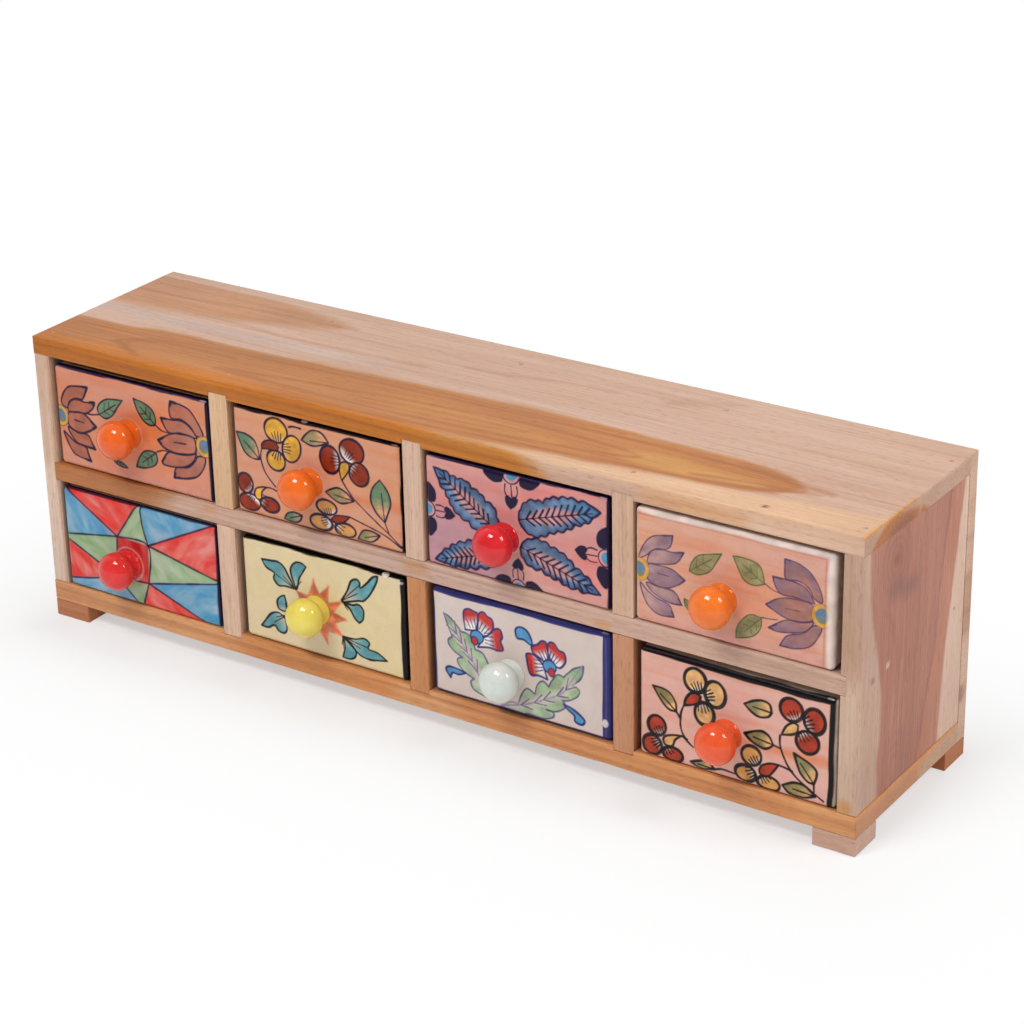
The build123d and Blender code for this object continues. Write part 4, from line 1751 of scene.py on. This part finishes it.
def boards() -> list[Board]:
    """Describe every board and foot of the cabinet.

    Returns:
        The boards, in the order they are built.
    """
    length, depth, height = Grain.LENGTH, Grain.DEPTH, Grain.HEIGHT
    lower = ("lower_divider_1", "lower_divider_2", "lower_divider_3")
    bottom = Board(
        "bottom_board", "golden_wood", length, depth, 1, (219, 153, 99), housed=lower, seed=11,
        patches=[
            Patch("-14,-14* 90,-14* 120,-0.4 -14,-0.4*", (223, 166, 117), 12),
            Patch("130,-14* 240,-14* 230,-0.4 140,-0.4", (215, 147, 88), 16),
            Patch("225,-14* 262,-14* 255,-0.4 230,-0.4", (222, 168, 118), 14),
            Patch("446,-14* 478,-14* 476,-0.4 450,-0.4", (221, 162, 108), 12),
            Patch("482,64* 494,64* 494,126* 482,126*", (196, 158, 130), 3),
            Patch("482,-10* 494,-10* 494,63* 482,63*", (195, 141, 103), 3),
        ],
        streaks=[
            Streak("-5,-4 120,-5 260,-3 400,-4.5 490,-4", (160, 98, 58), 1.3, 2, 0.7),
            Streak("-5,-8 150,-7.2 330,-8.5 490,-7", (170, 106, 64), 1.2, 2, 0.6),
        ],
    )
    shelf = Board(
        "shelf", "pale_wood", length, depth, 1, (212, 178, 160), seed=13,
        patches=[
            Patch("-15,-24* 62,-24* 80,10 -15,12*", (186, 116, 62), 16),
            Patch("84,-12* 140,-12* 140,1* 90,1*", (210, 176, 156), 20),
            Patch("170,-12* 290,-12* 290,1* 170,1*", (208, 176, 162), 20),
            Patch("380,-12* 475,-12* 475,1* 380,1*", (210, 176, 156), 20),
            Patch(ring((104, -3), (4, 1.5)), (206, 142, 84), 3, 0.6),
            Patch(ring((231, -4), (7, 3)), (204, 148, 98), 5, 0.7),
            Patch(ring((338, -7), (4, 1.5)), (204, 142, 84), 3, 0.6),
        ],
        streaks=[
            Streak("-5,-3 120,-3.6 250,-2.6 380,-3.4 470,-3", (168, 132, 114), 1.1, 2, 0.7),
            Streak("-5,-7 140,-7.4 300,-6.4 470,-7.2", (172, 138, 122), 1.0, 2, 0.6),
        ],
    )
    back = Board(
        "back_panel", "pale_wood", length, height, 1, (208, 174, 151), seed=17,
        patches=[
            Patch("479,63* 500,65* 500,90* 479,90*", (182, 143, 123), 3),
            Patch(ring((486, 60), (4, 2)), (126, 92, 76), 3, 0.6),
            Patch(ring((487, 26), (3, 4)), (126, 92, 76), 3, 0.6),
            Patch("-12,40 160,52 330,44 492,60 492,84 300,72 120,84 -12,70", (190, 148, 120), 10),
        ],
        streaks=[
            Streak("-6,55 160,66 330,58 488,70", (168, 124, 98), 1.6, 3, 0.7),
            Streak("-6,110 200,118 488,108", (184, 146, 122), 2.0, 4, 0.6),
            Streak("-6,22 220,18 488,26", (184, 146, 122), 1.6, 4, 0.6),
        ],
    )
    left = Board("left_side", "pale_wood", height, depth, -1, (223, 194, 173), housed=("shelf",), seed=19)
    left.patches = [Patch("-5,-12* 66,-12* 66,0* -5,0*", (229, 204, 187), 8)]
    left.streaks = [
        Streak("-6,30 60,34 136,28", (176, 134, 106), 1.6, 3, 0.7),
        Streak("-6,62 70,58 136,66", (180, 138, 110), 2.2, 4, 0.6),
        Streak("-6,-8.6 60,-8.8 136,-8.6", (168, 118, 84), 1.6, 2, 0.7),
    ]
    pieces = [top_board(), bottom, left, right_side(), back, shelf]
    divider_tones = [
        (("upper", 1), "pale_wood", (224, 187, 149)),
        (("upper", 2), "pale_wood", (216, 183, 160)),
        (("upper", 3), "pale_wood", (212, 177, 151)),
        (("lower", 1), "pale_wood", (229, 197, 174)),
        (("lower", 2), "red_wood", (204, 142, 94)),
        (("lower", 3), "red_wood", (199, 145, 109)),
    ]
    for (row, number), slot, tone in divider_tones:
        seed = 20 + number + (10 if row == "lower" else 0)
        pieces.append(Board(f"{row}_divider_{number}", slot, height, length, -1, tone, seed=seed, pitch=1.2))
    foot_tones = [
        ("front_left", "golden_wood", (192, 129, 88)),
        ("front_right", "pale_wood", (205, 171, 152)),
        ("back_left", "golden_wood", (190, 132, 92)),
        ("back_right", "golden_wood", (182, 114, 66)),
    ]
    for number, (corner, slot, tone) in enumerate(foot_tones):
        pieces.append(Board(f"foot_{corner}", slot, length, depth, 1, tone, seed=40 + number, pitch=0.9))
    return pieces


@dataclass
class Nails:
    """The headed brads that hold the cabinet, and the filler over those on show; sizes in millimetres."""

    columns: tuple[float, ...] = (-234.9, -118.85, -1.0, 116.85, 234.9)
    show_rows: tuple[float, float] = (-37.55, 48.45)
    under_rows: tuple[float, float] = (-16.55, 27.45)
    back_columns: tuple[float, ...] = (-177.275, -59.925, 57.925, 176.275)
    back_rows: tuple[float, ...] = (15.1, 85.65, 155.3)
    back_side_rows: tuple[float, float] = (50.65, 120.65)
    foot_columns: tuple[float, ...] = (-234.5, -223.5, 223.5, 234.5)
    foot_rows: tuple[float, float] = (-37.05, 51.95)
    top: float = 160.0
    underside: float = 9.5
    side: float = 239.7
    back: float = 66.45
    shelf: float = 85.65
    head_radius: float = 1.3
    shank_radius: float = 0.7
    sink: float = 0.12
    length: float = 25.0
    foot_length: float = 17.34
    dab_radius: float = 1.5

    def carcass(self) -> tuple[list[Brad], list[Brad]]:
        """List the carcass brads.

        Returns:
            Those on the show faces, and those on the underside and the back.
        """
        shown = [Brad((x, y, self.top), (0, 0, 1)) for x in self.columns for y in self.show_rows]
        for hand in (-1, 1):
            shown += [Brad((hand * self.side, y, self.shelf), (hand, 0, 0)) for y in self.show_rows]
        hidden = [Brad((x, y, self.underside), (0, 0, -1)) for x in self.columns for y in self.under_rows]
        places = [(x, z) for x in self.back_columns for z in self.back_rows]
        places += [(x, z) for x in (self.columns[0], self.columns[-1]) for z in self.back_side_rows]
        hidden += [Brad((x, self.back, z), (0, 1, 0)) for x, z in places]
        return shown, hidden

    def feet(self) -> list[Brad]:
        """List the brads up through the feet."""
        return [Brad((x, y, 0.0), (0, 0, -1)) for x in self.foot_columns for y in self.foot_rows]

    def build(self, steel: Material, filler: Material) -> None:
        """Set every brad and dab of filler.

        Args:
            steel: the brads' finish.
            filler: the filler's finish.
        """
        shown, hidden = self.carcass()
        tree = self.nail_tree()
        sizes = {"Head Radius": self.head_radius, "Shank Radius": self.shank_radius, "Sink": self.sink}
        sets = (("carcass", shown + hidden, self.length), ("foot", self.feet(), self.foot_length))
        for name, brads, length in sets:
            inputs = {key: size * MM for key, size in {**sizes, "Length": length}.items()}
            piece = scatter(f"{name}_brad_set", brads, tree, {**inputs, "Finish": steel})
            settle(piece, "cabinet", (f"{name}_brads",))
        inputs = {"Radius": self.dab_radius * MM, "Finish": filler}
        settle(scatter("filler_dabs", shown, self.dab_tree(), inputs), "cabinet")

    def nail_tree(self) -> Tree:
        """Build the tree that sets one nail at every point.

        Returns:
            The tree, with the nail's sizes as inputs.
        """
        grow = NodeGarden("set_nails")
        head_radius = grow.entry("Head Radius")
        shank_radius = grow.entry("Shank Radius")
        length = grow.entry("Length")
        sink = grow.entry("Sink")
        tip = grow.math("MULTIPLY", head_radius, 0.86)
        cone = {"Vertices": 18, "Radius Top": tip, "Radius Bottom": head_radius, "Depth": 0.0008}
        head = grow.raised(grow.add("GeometryNodeMeshCone", cone), grow.math("SUBTRACT", -0.0008, sink))
        rod = {"Vertices": 12, "Radius": shank_radius, "Depth": length}
        drop = grow.math("SUBTRACT", grow.math("MULTIPLY", length, -0.5), grow.math("ADD", sink, 0.0004))
        shank = grow.raised(grow.add("GeometryNodeMeshCylinder", rod), drop)
        nail = grow.add("GeometryNodeJoinGeometry", {0: head})
        grow.wire(nail.node, {0: shank})
        return grow.planted(nail, 0.94, 1.0)

    def dab_tree(self) -> Tree:
        """Build the tree that lays one dab of filler at every point.

        Returns:
            The tree, with the dab's radius as an input.
        """
        grow = NodeGarden("lay_filler")
        radius = grow.entry("Radius")
        flat = grow.math("MULTIPLY", radius, 0.7)
        cone = {"Vertices": 20, "Side Segments": 2, "Depth": 0.0004}
        cone |= {"Radius Top": flat, "Radius Bottom": radius}
        return grow.planted(grow.raised(grow.add("GeometryNodeMeshCone", cone), -0.00042), 0.45, 0.9)


class NodeGarden(Graph):
    """A Geometry Nodes tree that plants one shape at every point."""

    def __init__(self, name: str) -> None:
        """Start the tree with its geometry, its finish and its seed.

        Args:
            name: the tree's name.
        """
        super().__init__(bpy.data.node_groups.new(name, "GeometryNodeTree"))
        face = self.tree.interface
        face.new_socket("Geometry", in_out="INPUT", socket_type="NodeSocketGeometry")
        face.new_socket("Geometry", in_out="OUTPUT", socket_type="NodeSocketGeometry")
        face.new_socket("Finish", in_out="INPUT", socket_type="NodeSocketMaterial")
        face.new_socket("Seed", in_out="INPUT", socket_type="NodeSocketInt").default_value = 7
        self.source = self.tree.nodes.new("NodeGroupInput")

    def entry(self, name: str, kind: str = "Float") -> Socket:
        """Add a named input of some kind to the tree and give the socket that reads it."""
        self.tree.interface.new_socket(name, in_out="INPUT", socket_type=f"NodeSocket{kind}")
        return self.source.outputs[name]

    def raised(self, shape: Socket, height: object) -> Socket:
        """Move a shape up by a height, or down where it is negative."""
        way = self.add("ShaderNodeCombineXYZ", {2: height})
        return self.add("GeometryNodeTransform", {"Geometry": shape, "Translation": way})

    def ended(self, geometry: Socket) -> Tree:
        """Realize the geometry, give it its finish and close the tree.

        Args:
            geometry: what has been made.

        Returns:
            The finished tree.
        """
        real = self.add("GeometryNodeRealizeInstances", {"Geometry": geometry})
        wires = {"Geometry": real, "Material": self.source.outputs["Finish"]}
        dressed = self.add("GeometryNodeSetMaterial", wires)
        self.wire(self.tree.nodes.new("NodeGroupOutput"), {"Geometry": dressed})
        return self.tree

    def planted(self, shape: Socket, smallest: float, largest: float) -> Tree:
        """Plant a shape at every point, turned to face outwards.

        Args:
            shape: the shape, facing up.
            smallest: the least scale.
            largest: the greatest scale.

        Returns:
            The finished tree.
        """
        source = self.source.outputs
        facing = self.add("GeometryNodeInputNamedAttribute", {"Name": "facing"}, data_type="FLOAT_VECTOR")
        turned = self.add("FunctionNodeAlignRotationToVector", {"Vector": facing}, axis="Z")
        spin = self.random(0.0, 6.28)
        spun = self.add("FunctionNodeAxisAngleToRotation", {"Axis": (0.0, 0.0, 1.0), "Angle": spin})
        rotation = self.add("FunctionNodeRotateRotation", {0: turned, 1: spun}, rotation_space="LOCAL")
        size = self.random(smallest, largest)
        wires = {"Points": source["Geometry"], "Instance": shape, "Rotation": rotation, "Scale": size}
        return self.ended(self.add("GeometryNodeInstanceOnPoints", wires))

    def random(self, least: float, most: float) -> Socket:
        """Draw a number for every point."""
        wires = {2: least, 3: most, "Seed": self.source.outputs["Seed"]}
        return self.add("FunctionNodeRandomValue", wires, 1, data_type="FLOAT")


def evaluated(name: str, mesh: bpy.types.Mesh, tree: Tree, inputs: dict[str, object]) -> Piece:
    """Run a Geometry Nodes tree and keep its result as a plain mesh.

    Args:
        name: the finished object's name.
        mesh: the tree's own geometry.
        tree: the tree.
        inputs: values for the tree's named inputs.

    Returns:
        An object with no modifier.
    """
    piece = bpy.data.objects.new(name, mesh)
    bpy.context.scene.collection.objects.link(piece)
    modifier = piece.modifiers.new("tree", "NODES")
    modifier.node_group = tree
    for socket in tree.interface.items_tree:
        if socket.in_out == "INPUT" and socket.name in inputs:
            modifier[socket.identifier] = inputs[socket.name]
    graph = bpy.context.evaluated_depsgraph_get()
    result = bpy.data.meshes.new_from_object(piece.evaluated_get(graph))
    piece.modifiers.clear()
    piece.data = result
    result.name = name
    return piece


def scatter(name: str, brads: list[Brad], tree: Tree, inputs: dict[str, object]) -> Piece:
    """Plant a tree's shape at nail places.

    Args:
        name: the object's name.
        brads: the places.
        tree: the tree.
        inputs: values for its named inputs.

    Returns:
        The object.
    """
    mesh = bpy.data.meshes.new(name)
    mesh.from_pydata([[value * MM for value in brad.place] for brad in brads], [], [])
    facing = mesh.attributes.new("facing", "FLOAT_VECTOR", "POINT")
    facing.data.foreach_set("vector", np.array([brad.facing for brad in brads], np.float32).ravel())
    return evaluated(name, mesh, tree, inputs)


@dataclass
class Knob:
    """A turned ceramic knob: a round foot, a short neck and an egg-shaped head, in millimetres."""

    node: str
    foot_radius: float = 8.1
    foot_height: float = 3.0
    neck_radius: float = 7.0
    head_radius: float = 10.4
    head_half: float = 8.4
    head_middle: float = 10.8
    head_angle: float = 46.2
    waver: float = 0.22
    turns: int = 72
    rings: int = 96

    def profile(self) -> list[tuple[float, float]]:
        """Draw half the knob's section.

        Returns:
            Radius and distance from the drawer front, from the foot to the tip.
        """
        foot, height, neck = self.foot_radius, self.foot_height, self.neck_radius
        line = [(0.0, 0.0), (foot - 0.2, 0.0), (foot, 0.2), (foot - 0.15, 0.6)]
        for step in range(1, 9):
            share = step / 8
            line.append((neck + (foot - 0.25 - neck) * (1 - share) ** 1.8, 0.6 + (height + 0.9) * share))
        for step in range(41):
            angle = math.radians(-self.head_angle + (90 + self.head_angle) * step / 40)
            away = self.head_middle + self.head_half * math.sin(angle)
            line.append((self.head_radius * math.cos(angle), away))
        line[-1] = (0.0, line[-1][1])
        return line

    def build(self, tree: Tree, finish: Material, seed: int) -> Piece:
        """Turn the knob.

        Args:
            tree: the lathe.
            finish: its glaze.
            seed: makes its slight waver its own.

        Returns:
            The knob's object.
        """
        low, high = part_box(self.node)
        points = [(radius * MM, 0.0, away * MM) for radius, away in self.profile()]
        mesh = bpy.data.meshes.new(self.node)
        mesh.from_pydata(points, [(i, i + 1) for i in range(len(points) - 1)], [])
        inputs = {
            "Finish": finish,
            "Seed": seed,
            "Middle": ((low.x + high.x) / 2, high.y, (low.z + high.z) / 2),
            "Turns": self.turns,
            "Rings": self.rings,
            "Waver": self.waver * MM,
        }
        piece = evaluated(f"turned_{self.node}", mesh, tree, inputs)
        piece.data.polygons.foreach_set("use_smooth", np.ones(len(piece.data.polygons), bool))
        return piece

    @staticmethod
    def lathe() -> Tree:
        """Build the tree that turns a drawn section round the knob's axis.

        Returns:
            The tree, with its place, fineness and waver as inputs.
        """
        grow = NodeGarden("turn_knob")
        middle = grow.entry("Middle", "Vector")
        columns = grow.math("ADD", grow.entry("Turns", "Int"), 1.0)
        rings = grow.entry("Rings", "Int")
        waver = grow.entry("Waver")
        source = grow.source.outputs
        section = grow.add("GeometryNodeMeshToCurve", {"Mesh": source["Geometry"]})
        size = {"Size X": 1.0, "Size Y": 1.0, "Vertices X": rings, "Vertices Y": columns}
        grid = grow.add("GeometryNodeMeshGrid", size)
        split = grow.add("ShaderNodeSeparateXYZ", {0: grow.add("GeometryNodeInputPosition")}).node.outputs
        share = grow.math("ADD", split[0], 0.5)
        turn = grow.math("MULTIPLY", grow.math("ADD", split[1], 0.5), -2 * math.pi)
        wires = {"Curves": section, "Factor": share}
        sample = grow.add("GeometryNodeSampleCurve", wires, "Position", mode="FACTOR", use_all_curves=True)
        drawn = grow.add("ShaderNodeSeparateXYZ", {0: sample}).node.outputs
        across = grow.math("MULTIPLY", drawn[0], grow.math("COSINE", turn))
        upward = grow.math("MULTIPLY", drawn[0], grow.math("SINE", turn))
        forward = grow.math("MULTIPLY", drawn[2], -1.0)
        place = grow.add("ShaderNodeCombineXYZ", {0: across, 1: forward, 2: upward})
        lift = grow.add("ShaderNodeCombineXYZ", {0: grow.math("MULTIPLY", source["Seed"], 0.37)})
        cloud = grow.noise(grow.vector("ADD", place, lift), 75.0, 1)
        inward = grow.math("MULTIPLY", grow.math("MULTIPLY", cloud, waver), 90.0)
        scale = {0: place, "Scale": grow.math("SUBTRACT", 1.0, inward)}
        shrunk = grow.add("ShaderNodeVectorMath", scale, operation="SCALE")
        moved = grow.vector("ADD", shrunk, middle)
        turned = grow.add("GeometryNodeSetPosition", {"Geometry": grid, "Position": moved})
        closed = grow.add("GeometryNodeMergeByDistance", {"Geometry": turned, "Distance": 0.000002})
        return grow.ended(closed)


@dataclass
class Front:
    """The painted skin of a drawer's front, wrapped over its rounded edges and part of its sides."""

    drawer: str
    painting: Painting
    seed: int
    cell: float = 0.34
    rounding: float = 2.5
    coat: float = 0.08
    lap: float = 2.0
    map_start: tuple[float, float] = (0.06, 0.14)
    map_size: tuple[float, float] = (0.88, 0.78)
    strip_start: float = 0.005
    strip_height: float = 0.03

    def laid_out(self, size: float) -> Array:
        """Divide one direction of the front, over both rounded edges.

        Args:
            size: the front's width or height.

        Returns:
            Places measured on the surface from the first edge; negative ones are on its rounding.
        """
        arc = self.rounding * math.pi / 2
        bend = arc * np.arange(1, 10) / 9
        count = int(round((size - 2 * self.rounding) / self.cell))
        flat = np.linspace(self.rounding, size - self.rounding, count + 1)
        return np.concatenate([self.rounding - bend[::-1], flat, size - self.rounding + bend])

    def build(self, finish: Material) -> Piece:
        """Make the front and paint it.

        Args:
            finish: its glaze.

        Returns:
            The front's object, a closed thin shell.
        """
        low, high = corners_mm(f"{self.drawer}_box")
        width, height = high[0] - low[0], high[2] - low[2]
        columns, rows = self.laid_out(width), self.laid_out(height)
        right, up = (values.ravel() for values in np.meshgrid(columns, rows))
        core_right = np.clip(right, self.rounding, width - self.rounding)
        core_up = np.clip(up, self.rounding, height - self.rounding)
        yaw = (right - core_right) / self.rounding
        tilt = (up - core_up) / self.rounding
        normal = np.stack([np.sin(yaw), -np.cos(yaw) * np.cos(tilt), np.sin(tilt)], axis=1)
        normal /= np.linalg.norm(normal, axis=1, keepdims=True)
        core_depth = np.full(len(right), low[1] + self.rounding)
        core = np.stack([low[0] + core_right, core_depth, low[2] + core_up], axis=1)
        points = core + normal * (self.rounding + self.coat)
        number = np.arange(len(points)).reshape(len(rows), len(columns))
        turns = [number[:-1, :-1], number[:-1, 1:], number[1:, 1:], number[1:, :-1]]
        faces = np.stack([turn.ravel() for turn in turns], axis=1).tolist()
        rim = np.concatenate([number[0, :-1], number[:-1, -1], number[-1, :0:-1], number[:0:-1, 0]])
        layers, rights, ups = [points], [right], [up]
        outer = rim
        for step in (1, 2):
            back = self.lap * step / 2
            layers.append(points[rim] + (0.0, back, 0.0) - normal[rim] * self.coat * 0.9 * step)
            rights.append(right[rim] + np.sign(yaw[rim]) * (np.abs(yaw[rim]) > 1.5) * back)
            ups.append(up[rim] + np.sign(tilt[rim]) * (np.abs(tilt[rim]) > 1.5) * back)
            inner = len(points) + (step - 1) * len(rim) + np.arange(len(rim))
            faces += np.stack([outer, inner, np.roll(inner, -1), np.roll(outer, -1)], axis=1).tolist()
            outer = inner
        faces.append(outer[::-1].tolist())
        piece = add_mesh(f"painted_{self.drawer}_front", np.concatenate(layers) * MM, faces, finish)
        right, up = np.concatenate(rights), np.concatenate(ups)
        self.painting.spread(right * SKETCH, (height - up) * SKETCH, self.seed)
        self.painting.draw()
        paint_points(piece, "paint", self.painting.linear())
        self.map_surface(piece, right / width, up / height)
        return piece

    def map_surface(self, piece: Piece, right: Array, up: Array) -> None:
        """Give the front a flat map, with its hidden back face in a strip below.

        Args:
            piece: the front.
            right: places across the front, from 0 to 1 and a little past.
            up: places up the front.
        """
        loops = np.zeros(len(piece.data.loops), np.int32)
        piece.data.loops.foreach_get("vertex_index", loops)
        flat = np.stack([right[loops], up[loops]], axis=1) * self.map_size + self.map_start
        last = piece.data.polygons[len(piece.data.polygons) - 1]
        hidden = slice(last.loop_start, last.loop_start + last.loop_total)
        flat[hidden, 1] = self.strip_start + self.strip_height * flat[hidden, 1]
        layer = piece.data.uv_layers.new(name="OFBake")
        layer.data.foreach_set("uv", flat.astype(np.float32).ravel())


@dataclass
class Drawers:
    """The eight ceramic drawers: painted fronts, knobs, glazed boxes and the steel inside."""

    knob_colours: dict[str, tuple[str, Colour, Colour]] = field(
        default_factory=lambda: {
            "upper_drawer_1": ("orange_glaze", (236, 104, 28), (228, 92, 24)),
            "upper_drawer_2": ("orange_glaze", (238, 112, 26), (230, 98, 22)),
            "upper_drawer_3": ("red_glaze", (220, 36, 42), (206, 26, 34)),
            "upper_drawer_4": ("orange_glaze", (240, 124, 38), (232, 108, 30)),
            "lower_drawer_1": ("red_glaze", (230, 52, 48), (218, 40, 38)),
            "lower_drawer_2": ("yellow_glaze", (236, 218, 100), (228, 206, 84)),
            "lower_drawer_3": ("celadon_glaze", (220, 224, 216), (206, 216, 208)),
            "lower_drawer_4": ("orange_glaze", (238, 92, 44), (228, 80, 36)),
        }
    )
    box_colours: dict[str, tuple[Colour, Colour]] = field(
        default_factory=lambda: {
            "peach_glaze": ((222, 196, 174), (212, 180, 156)),
            "pink_glaze": ((220, 186, 178), (208, 168, 160)),
            "patchwork_glaze": ((224, 206, 194), (214, 192, 178)),
            "lemon_glaze": ((226, 212, 172), (216, 198, 152)),
            "ivory_glaze": ((224, 214, 204), (212, 200, 190)),
        }
    )

    def build(self, steel: Material) -> None:
        """Dress every drawer.

        Args:
            steel: the finish of studs, washers and nuts.
        """
        slots = {part["node"]: part["material_slot"] for part in frame["record"]["subparts"]}
        boxes = {}
        for name, pair in self.box_colours.items():
            boxes[name] = GlazeFinish(name, *pair, roughness=0.22).material()
        painted = GlazeFinish("painted_glaze", gloss=0.18).material()
        lathe = Knob.lathe()
        for row, paintings in (("upper", upper_paintings()), ("lower", lower_paintings())):
            for number, painting in enumerate(paintings, 1):
                drawer = f"{row}_drawer_{number}"
                seed = number + (10 if row == "lower" else 0)
                box_slot = slots[f"{drawer}_box"]
                dress(f"{drawer}_box", boxes[box_slot])
                front = Front(drawer, painting, seed).build(painted)
                settle(front, drawer)
                knob_slot, colour, pooled = self.knob_colours[drawer]
                glaze = GlazeFinish(f"{drawer}_{knob_slot}", colour, pooled, roughness=0.08).material()
                knob = Knob(f"{drawer}_knob").build(lathe, glaze, seed)
                settle(knob, drawer, (f"{drawer}_knob",))
                for part in ("stud", "washer", "nut"):
                    dress(f"{drawer}_{part}", steel)


def dress(node: str, finish: Material) -> None:
    """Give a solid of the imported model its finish.

    Args:
        node: the solid's name.
        finish: the finish.
    """
    mesh = frame["nodes"][node].data
    mesh.materials.clear()
    mesh.materials.append(finish)
    log.info("%s takes %s", node, finish.name)


@dataclass
class Cabinet:
    """The wooden cabinet: boards, feet, brads and filler."""

    nails: Nails = field(default_factory=Nails)

    def build(self) -> None:
        """Make every wooden piece and its nails."""
        shown, hidden = self.nails.carcass()
        brads = shown + hidden + self.nails.feet()
        finishes = {}
        for board in boards():
            key = (board.slot, board.grain)
            if key not in finishes:
                figure = 0.08 if board.slot == "red_wood" else 0.18
                finishes[key] = WoodFinish(board.slot, board.grain, figure).material()
            piece = board.build(finishes[key], brads)
            settle(piece, "cabinet", (board.node,))
        steel = SteelFinish("brad_steel", (168, 164, 158), (116, 98, 84)).material()
        self.nails.build(steel, FillerFinish().material())


@dataclass
class Studio:
    """A white table, two soft boxes, an overhead strip and the camera."""

    eye: Place = (0.747912, -1.073825, 0.691586)
    right: Place = (0.83399, 0.55143, -0.01937)
    down: Place = (0.21335, -0.35465, -0.91033)
    ahead: Place = (-0.50886, 0.75508, -0.41342)
    lens: float = 102.02
    target: Place = (0.0, 0.0, 0.08)
    horizon: float = 0.85
    zenith: float = 0.1
    dim: float = 0.3
    table_half: float = 3.0
    shadow_reach: float = 0.028
    shadow_depth: float = 0.5

    def build(self) -> None:
        """Set up the camera, the lights, the world and the table."""
        self.camera()
        self.soft_box("key_box", (-0.38, 0.575, 0.723), 1.5, (0.5, 0.4), 11.0)
        self.soft_box("fill_box", (0.62, 0.485, 0.613), 1.5, (0.5, 0.4), 8.0)
        self.soft_box("overhead_strip", (-0.08, 0.95, -0.15), 1.3, (1.0, 0.06), 1.2)
        self.world()
        self.table()
        bpy.context.scene.view_settings.view_transform = "Standard"

    def camera(self) -> None:
        """Place the camera at the viewing angle of the reference."""
        data = bpy.data.cameras.new("camera")
        data.lens = self.lens
        data.sensor_width = 36.0
        data.clip_start = 0.01
        camera = bpy.data.objects.new("camera", data)
        up, back = -Vector(self.down), -Vector(self.ahead)
        rows = Matrix((self.right, up, back)).transposed()
        camera.matrix_world = Matrix.Translation(self.eye) @ rows.to_4x4()
        bpy.context.scene.collection.objects.link(camera)
        bpy.context.scene.camera = camera

    def soft_box(
        self, name: str, toward: Place, distance: float, size: tuple[float, float], power: float
    ) -> None:
        """Hang one soft box.

        Args:
            name: its name.
            toward: where it is seen from the target: right, up and towards the camera.
            distance: how far it is from the target.
            size: its width and height.
            power: its power.
        """
        data = bpy.data.lights.new(name, "AREA")
        data.shape = "RECTANGLE"
        data.size, data.size_y = size
        data.energy = power
        light = bpy.data.objects.new(name, data)
        way = Vector(self.right) * toward[0] - Vector(self.down) * toward[1] - Vector(self.ahead) * toward[2]
        place = Vector(self.target) + way.normalized() * distance
        turn = (place - Vector(self.target)).to_track_quat("Z", "Y")
        light.matrix_world = Matrix.Translation(place) @ turn.to_matrix().to_4x4()
        bpy.context.scene.collection.objects.link(light)

    def world(self) -> None:
        """Light the scene evenly, with a white surround for the camera and for reflections."""
        world = bpy.data.worlds.new("white_studio")
        world.use_nodes = True
        bpy.context.scene.world = world
        graph = Graph(world.node_tree)
        seen, gloss = graph.rays()
        way = graph.add("ShaderNodeTexCoord", out="Generated")
        height = graph.add("ShaderNodeSeparateXYZ", {0: way}, 2)
        behind = graph.vector("DOT_PRODUCT", way, (-0.56, 0.83, 0.0), out="Value")
        soft = graph.span(height, 0.0, 1.0, self.horizon, self.zenith)
        mirrored = graph.span(behind, -0.1, 0.3, self.dim, 1.0)
        matt = graph.math("MULTIPLY", soft, graph.math("SUBTRACT", 1.0, gloss))
        strength = graph.math("ADD", matt, graph.math("MULTIPLY", mirrored, gloss))
        strength = graph.math("MAXIMUM", strength, seen)
        background = world.node_tree.nodes["Background"]
        graph.wire(background, {"Strength": strength, "Color": (1.0, 1.0, 1.0, 1.0)})

    def table(self) -> None:
        """Lay the white table, which keeps the object's shadow."""
        size = self.table_half
        square = np.array([(-size, -size, 0.0), (size, -size, 0.0), (size, size, 0.0), (-size, size, 0.0)])
        material, graph, shader = new_material("white_table")
        graph.wire(shader, {"Base Color": (0.9, 0.9, 0.9, 1.0), "Roughness": 0.9, "Specular IOR Level": 0.1})
        seen, gloss = graph.rays()
        away = graph.vector("ABSOLUTE", graph.place())
        past = graph.vector("SUBTRACT", away, (float(cad_box[1][0]), float(cad_box[1][1]), 1.0))
        outside = graph.vector("MAXIMUM", past, (0.0, 0.0, 0.0))
        far = graph.vector("LENGTH", outside, out="Value")
        fade = graph.math("POWER", 2.0, graph.math("DIVIDE", far, -self.shadow_reach))
        bright = graph.math("SUBTRACT", 1.0, graph.math("MULTIPLY", fade, self.shadow_depth))
        share = graph.math("MULTIPLY", bright, graph.math("MAXIMUM", seen, gloss))
        white = graph.add("ShaderNodeEmission", {"Color": (1.0, 1.0, 1.0, 1.0), "Strength": 1.0})
        mixed = graph.add("ShaderNodeMixShader", {0: share, 1: shader.outputs[0], 2: white})
        graph.wire(material.node_tree.nodes["Material Output"], {"Surface": mixed})
        add_mesh("table", square, [(0, 1, 2, 3)], material)


def main() -> None:
    """Build the cabinet, its drawers and the studio."""
    logging.basicConfig(level=logging.INFO, format="%(message)s")
    Studio().build()
    Cabinet().build()
    hardware = SteelFinish("hardware_steel", (176, 174, 170), (128, 122, 114)).material()
    Drawers().build(hardware)


if __name__ == "__main__":
    main()
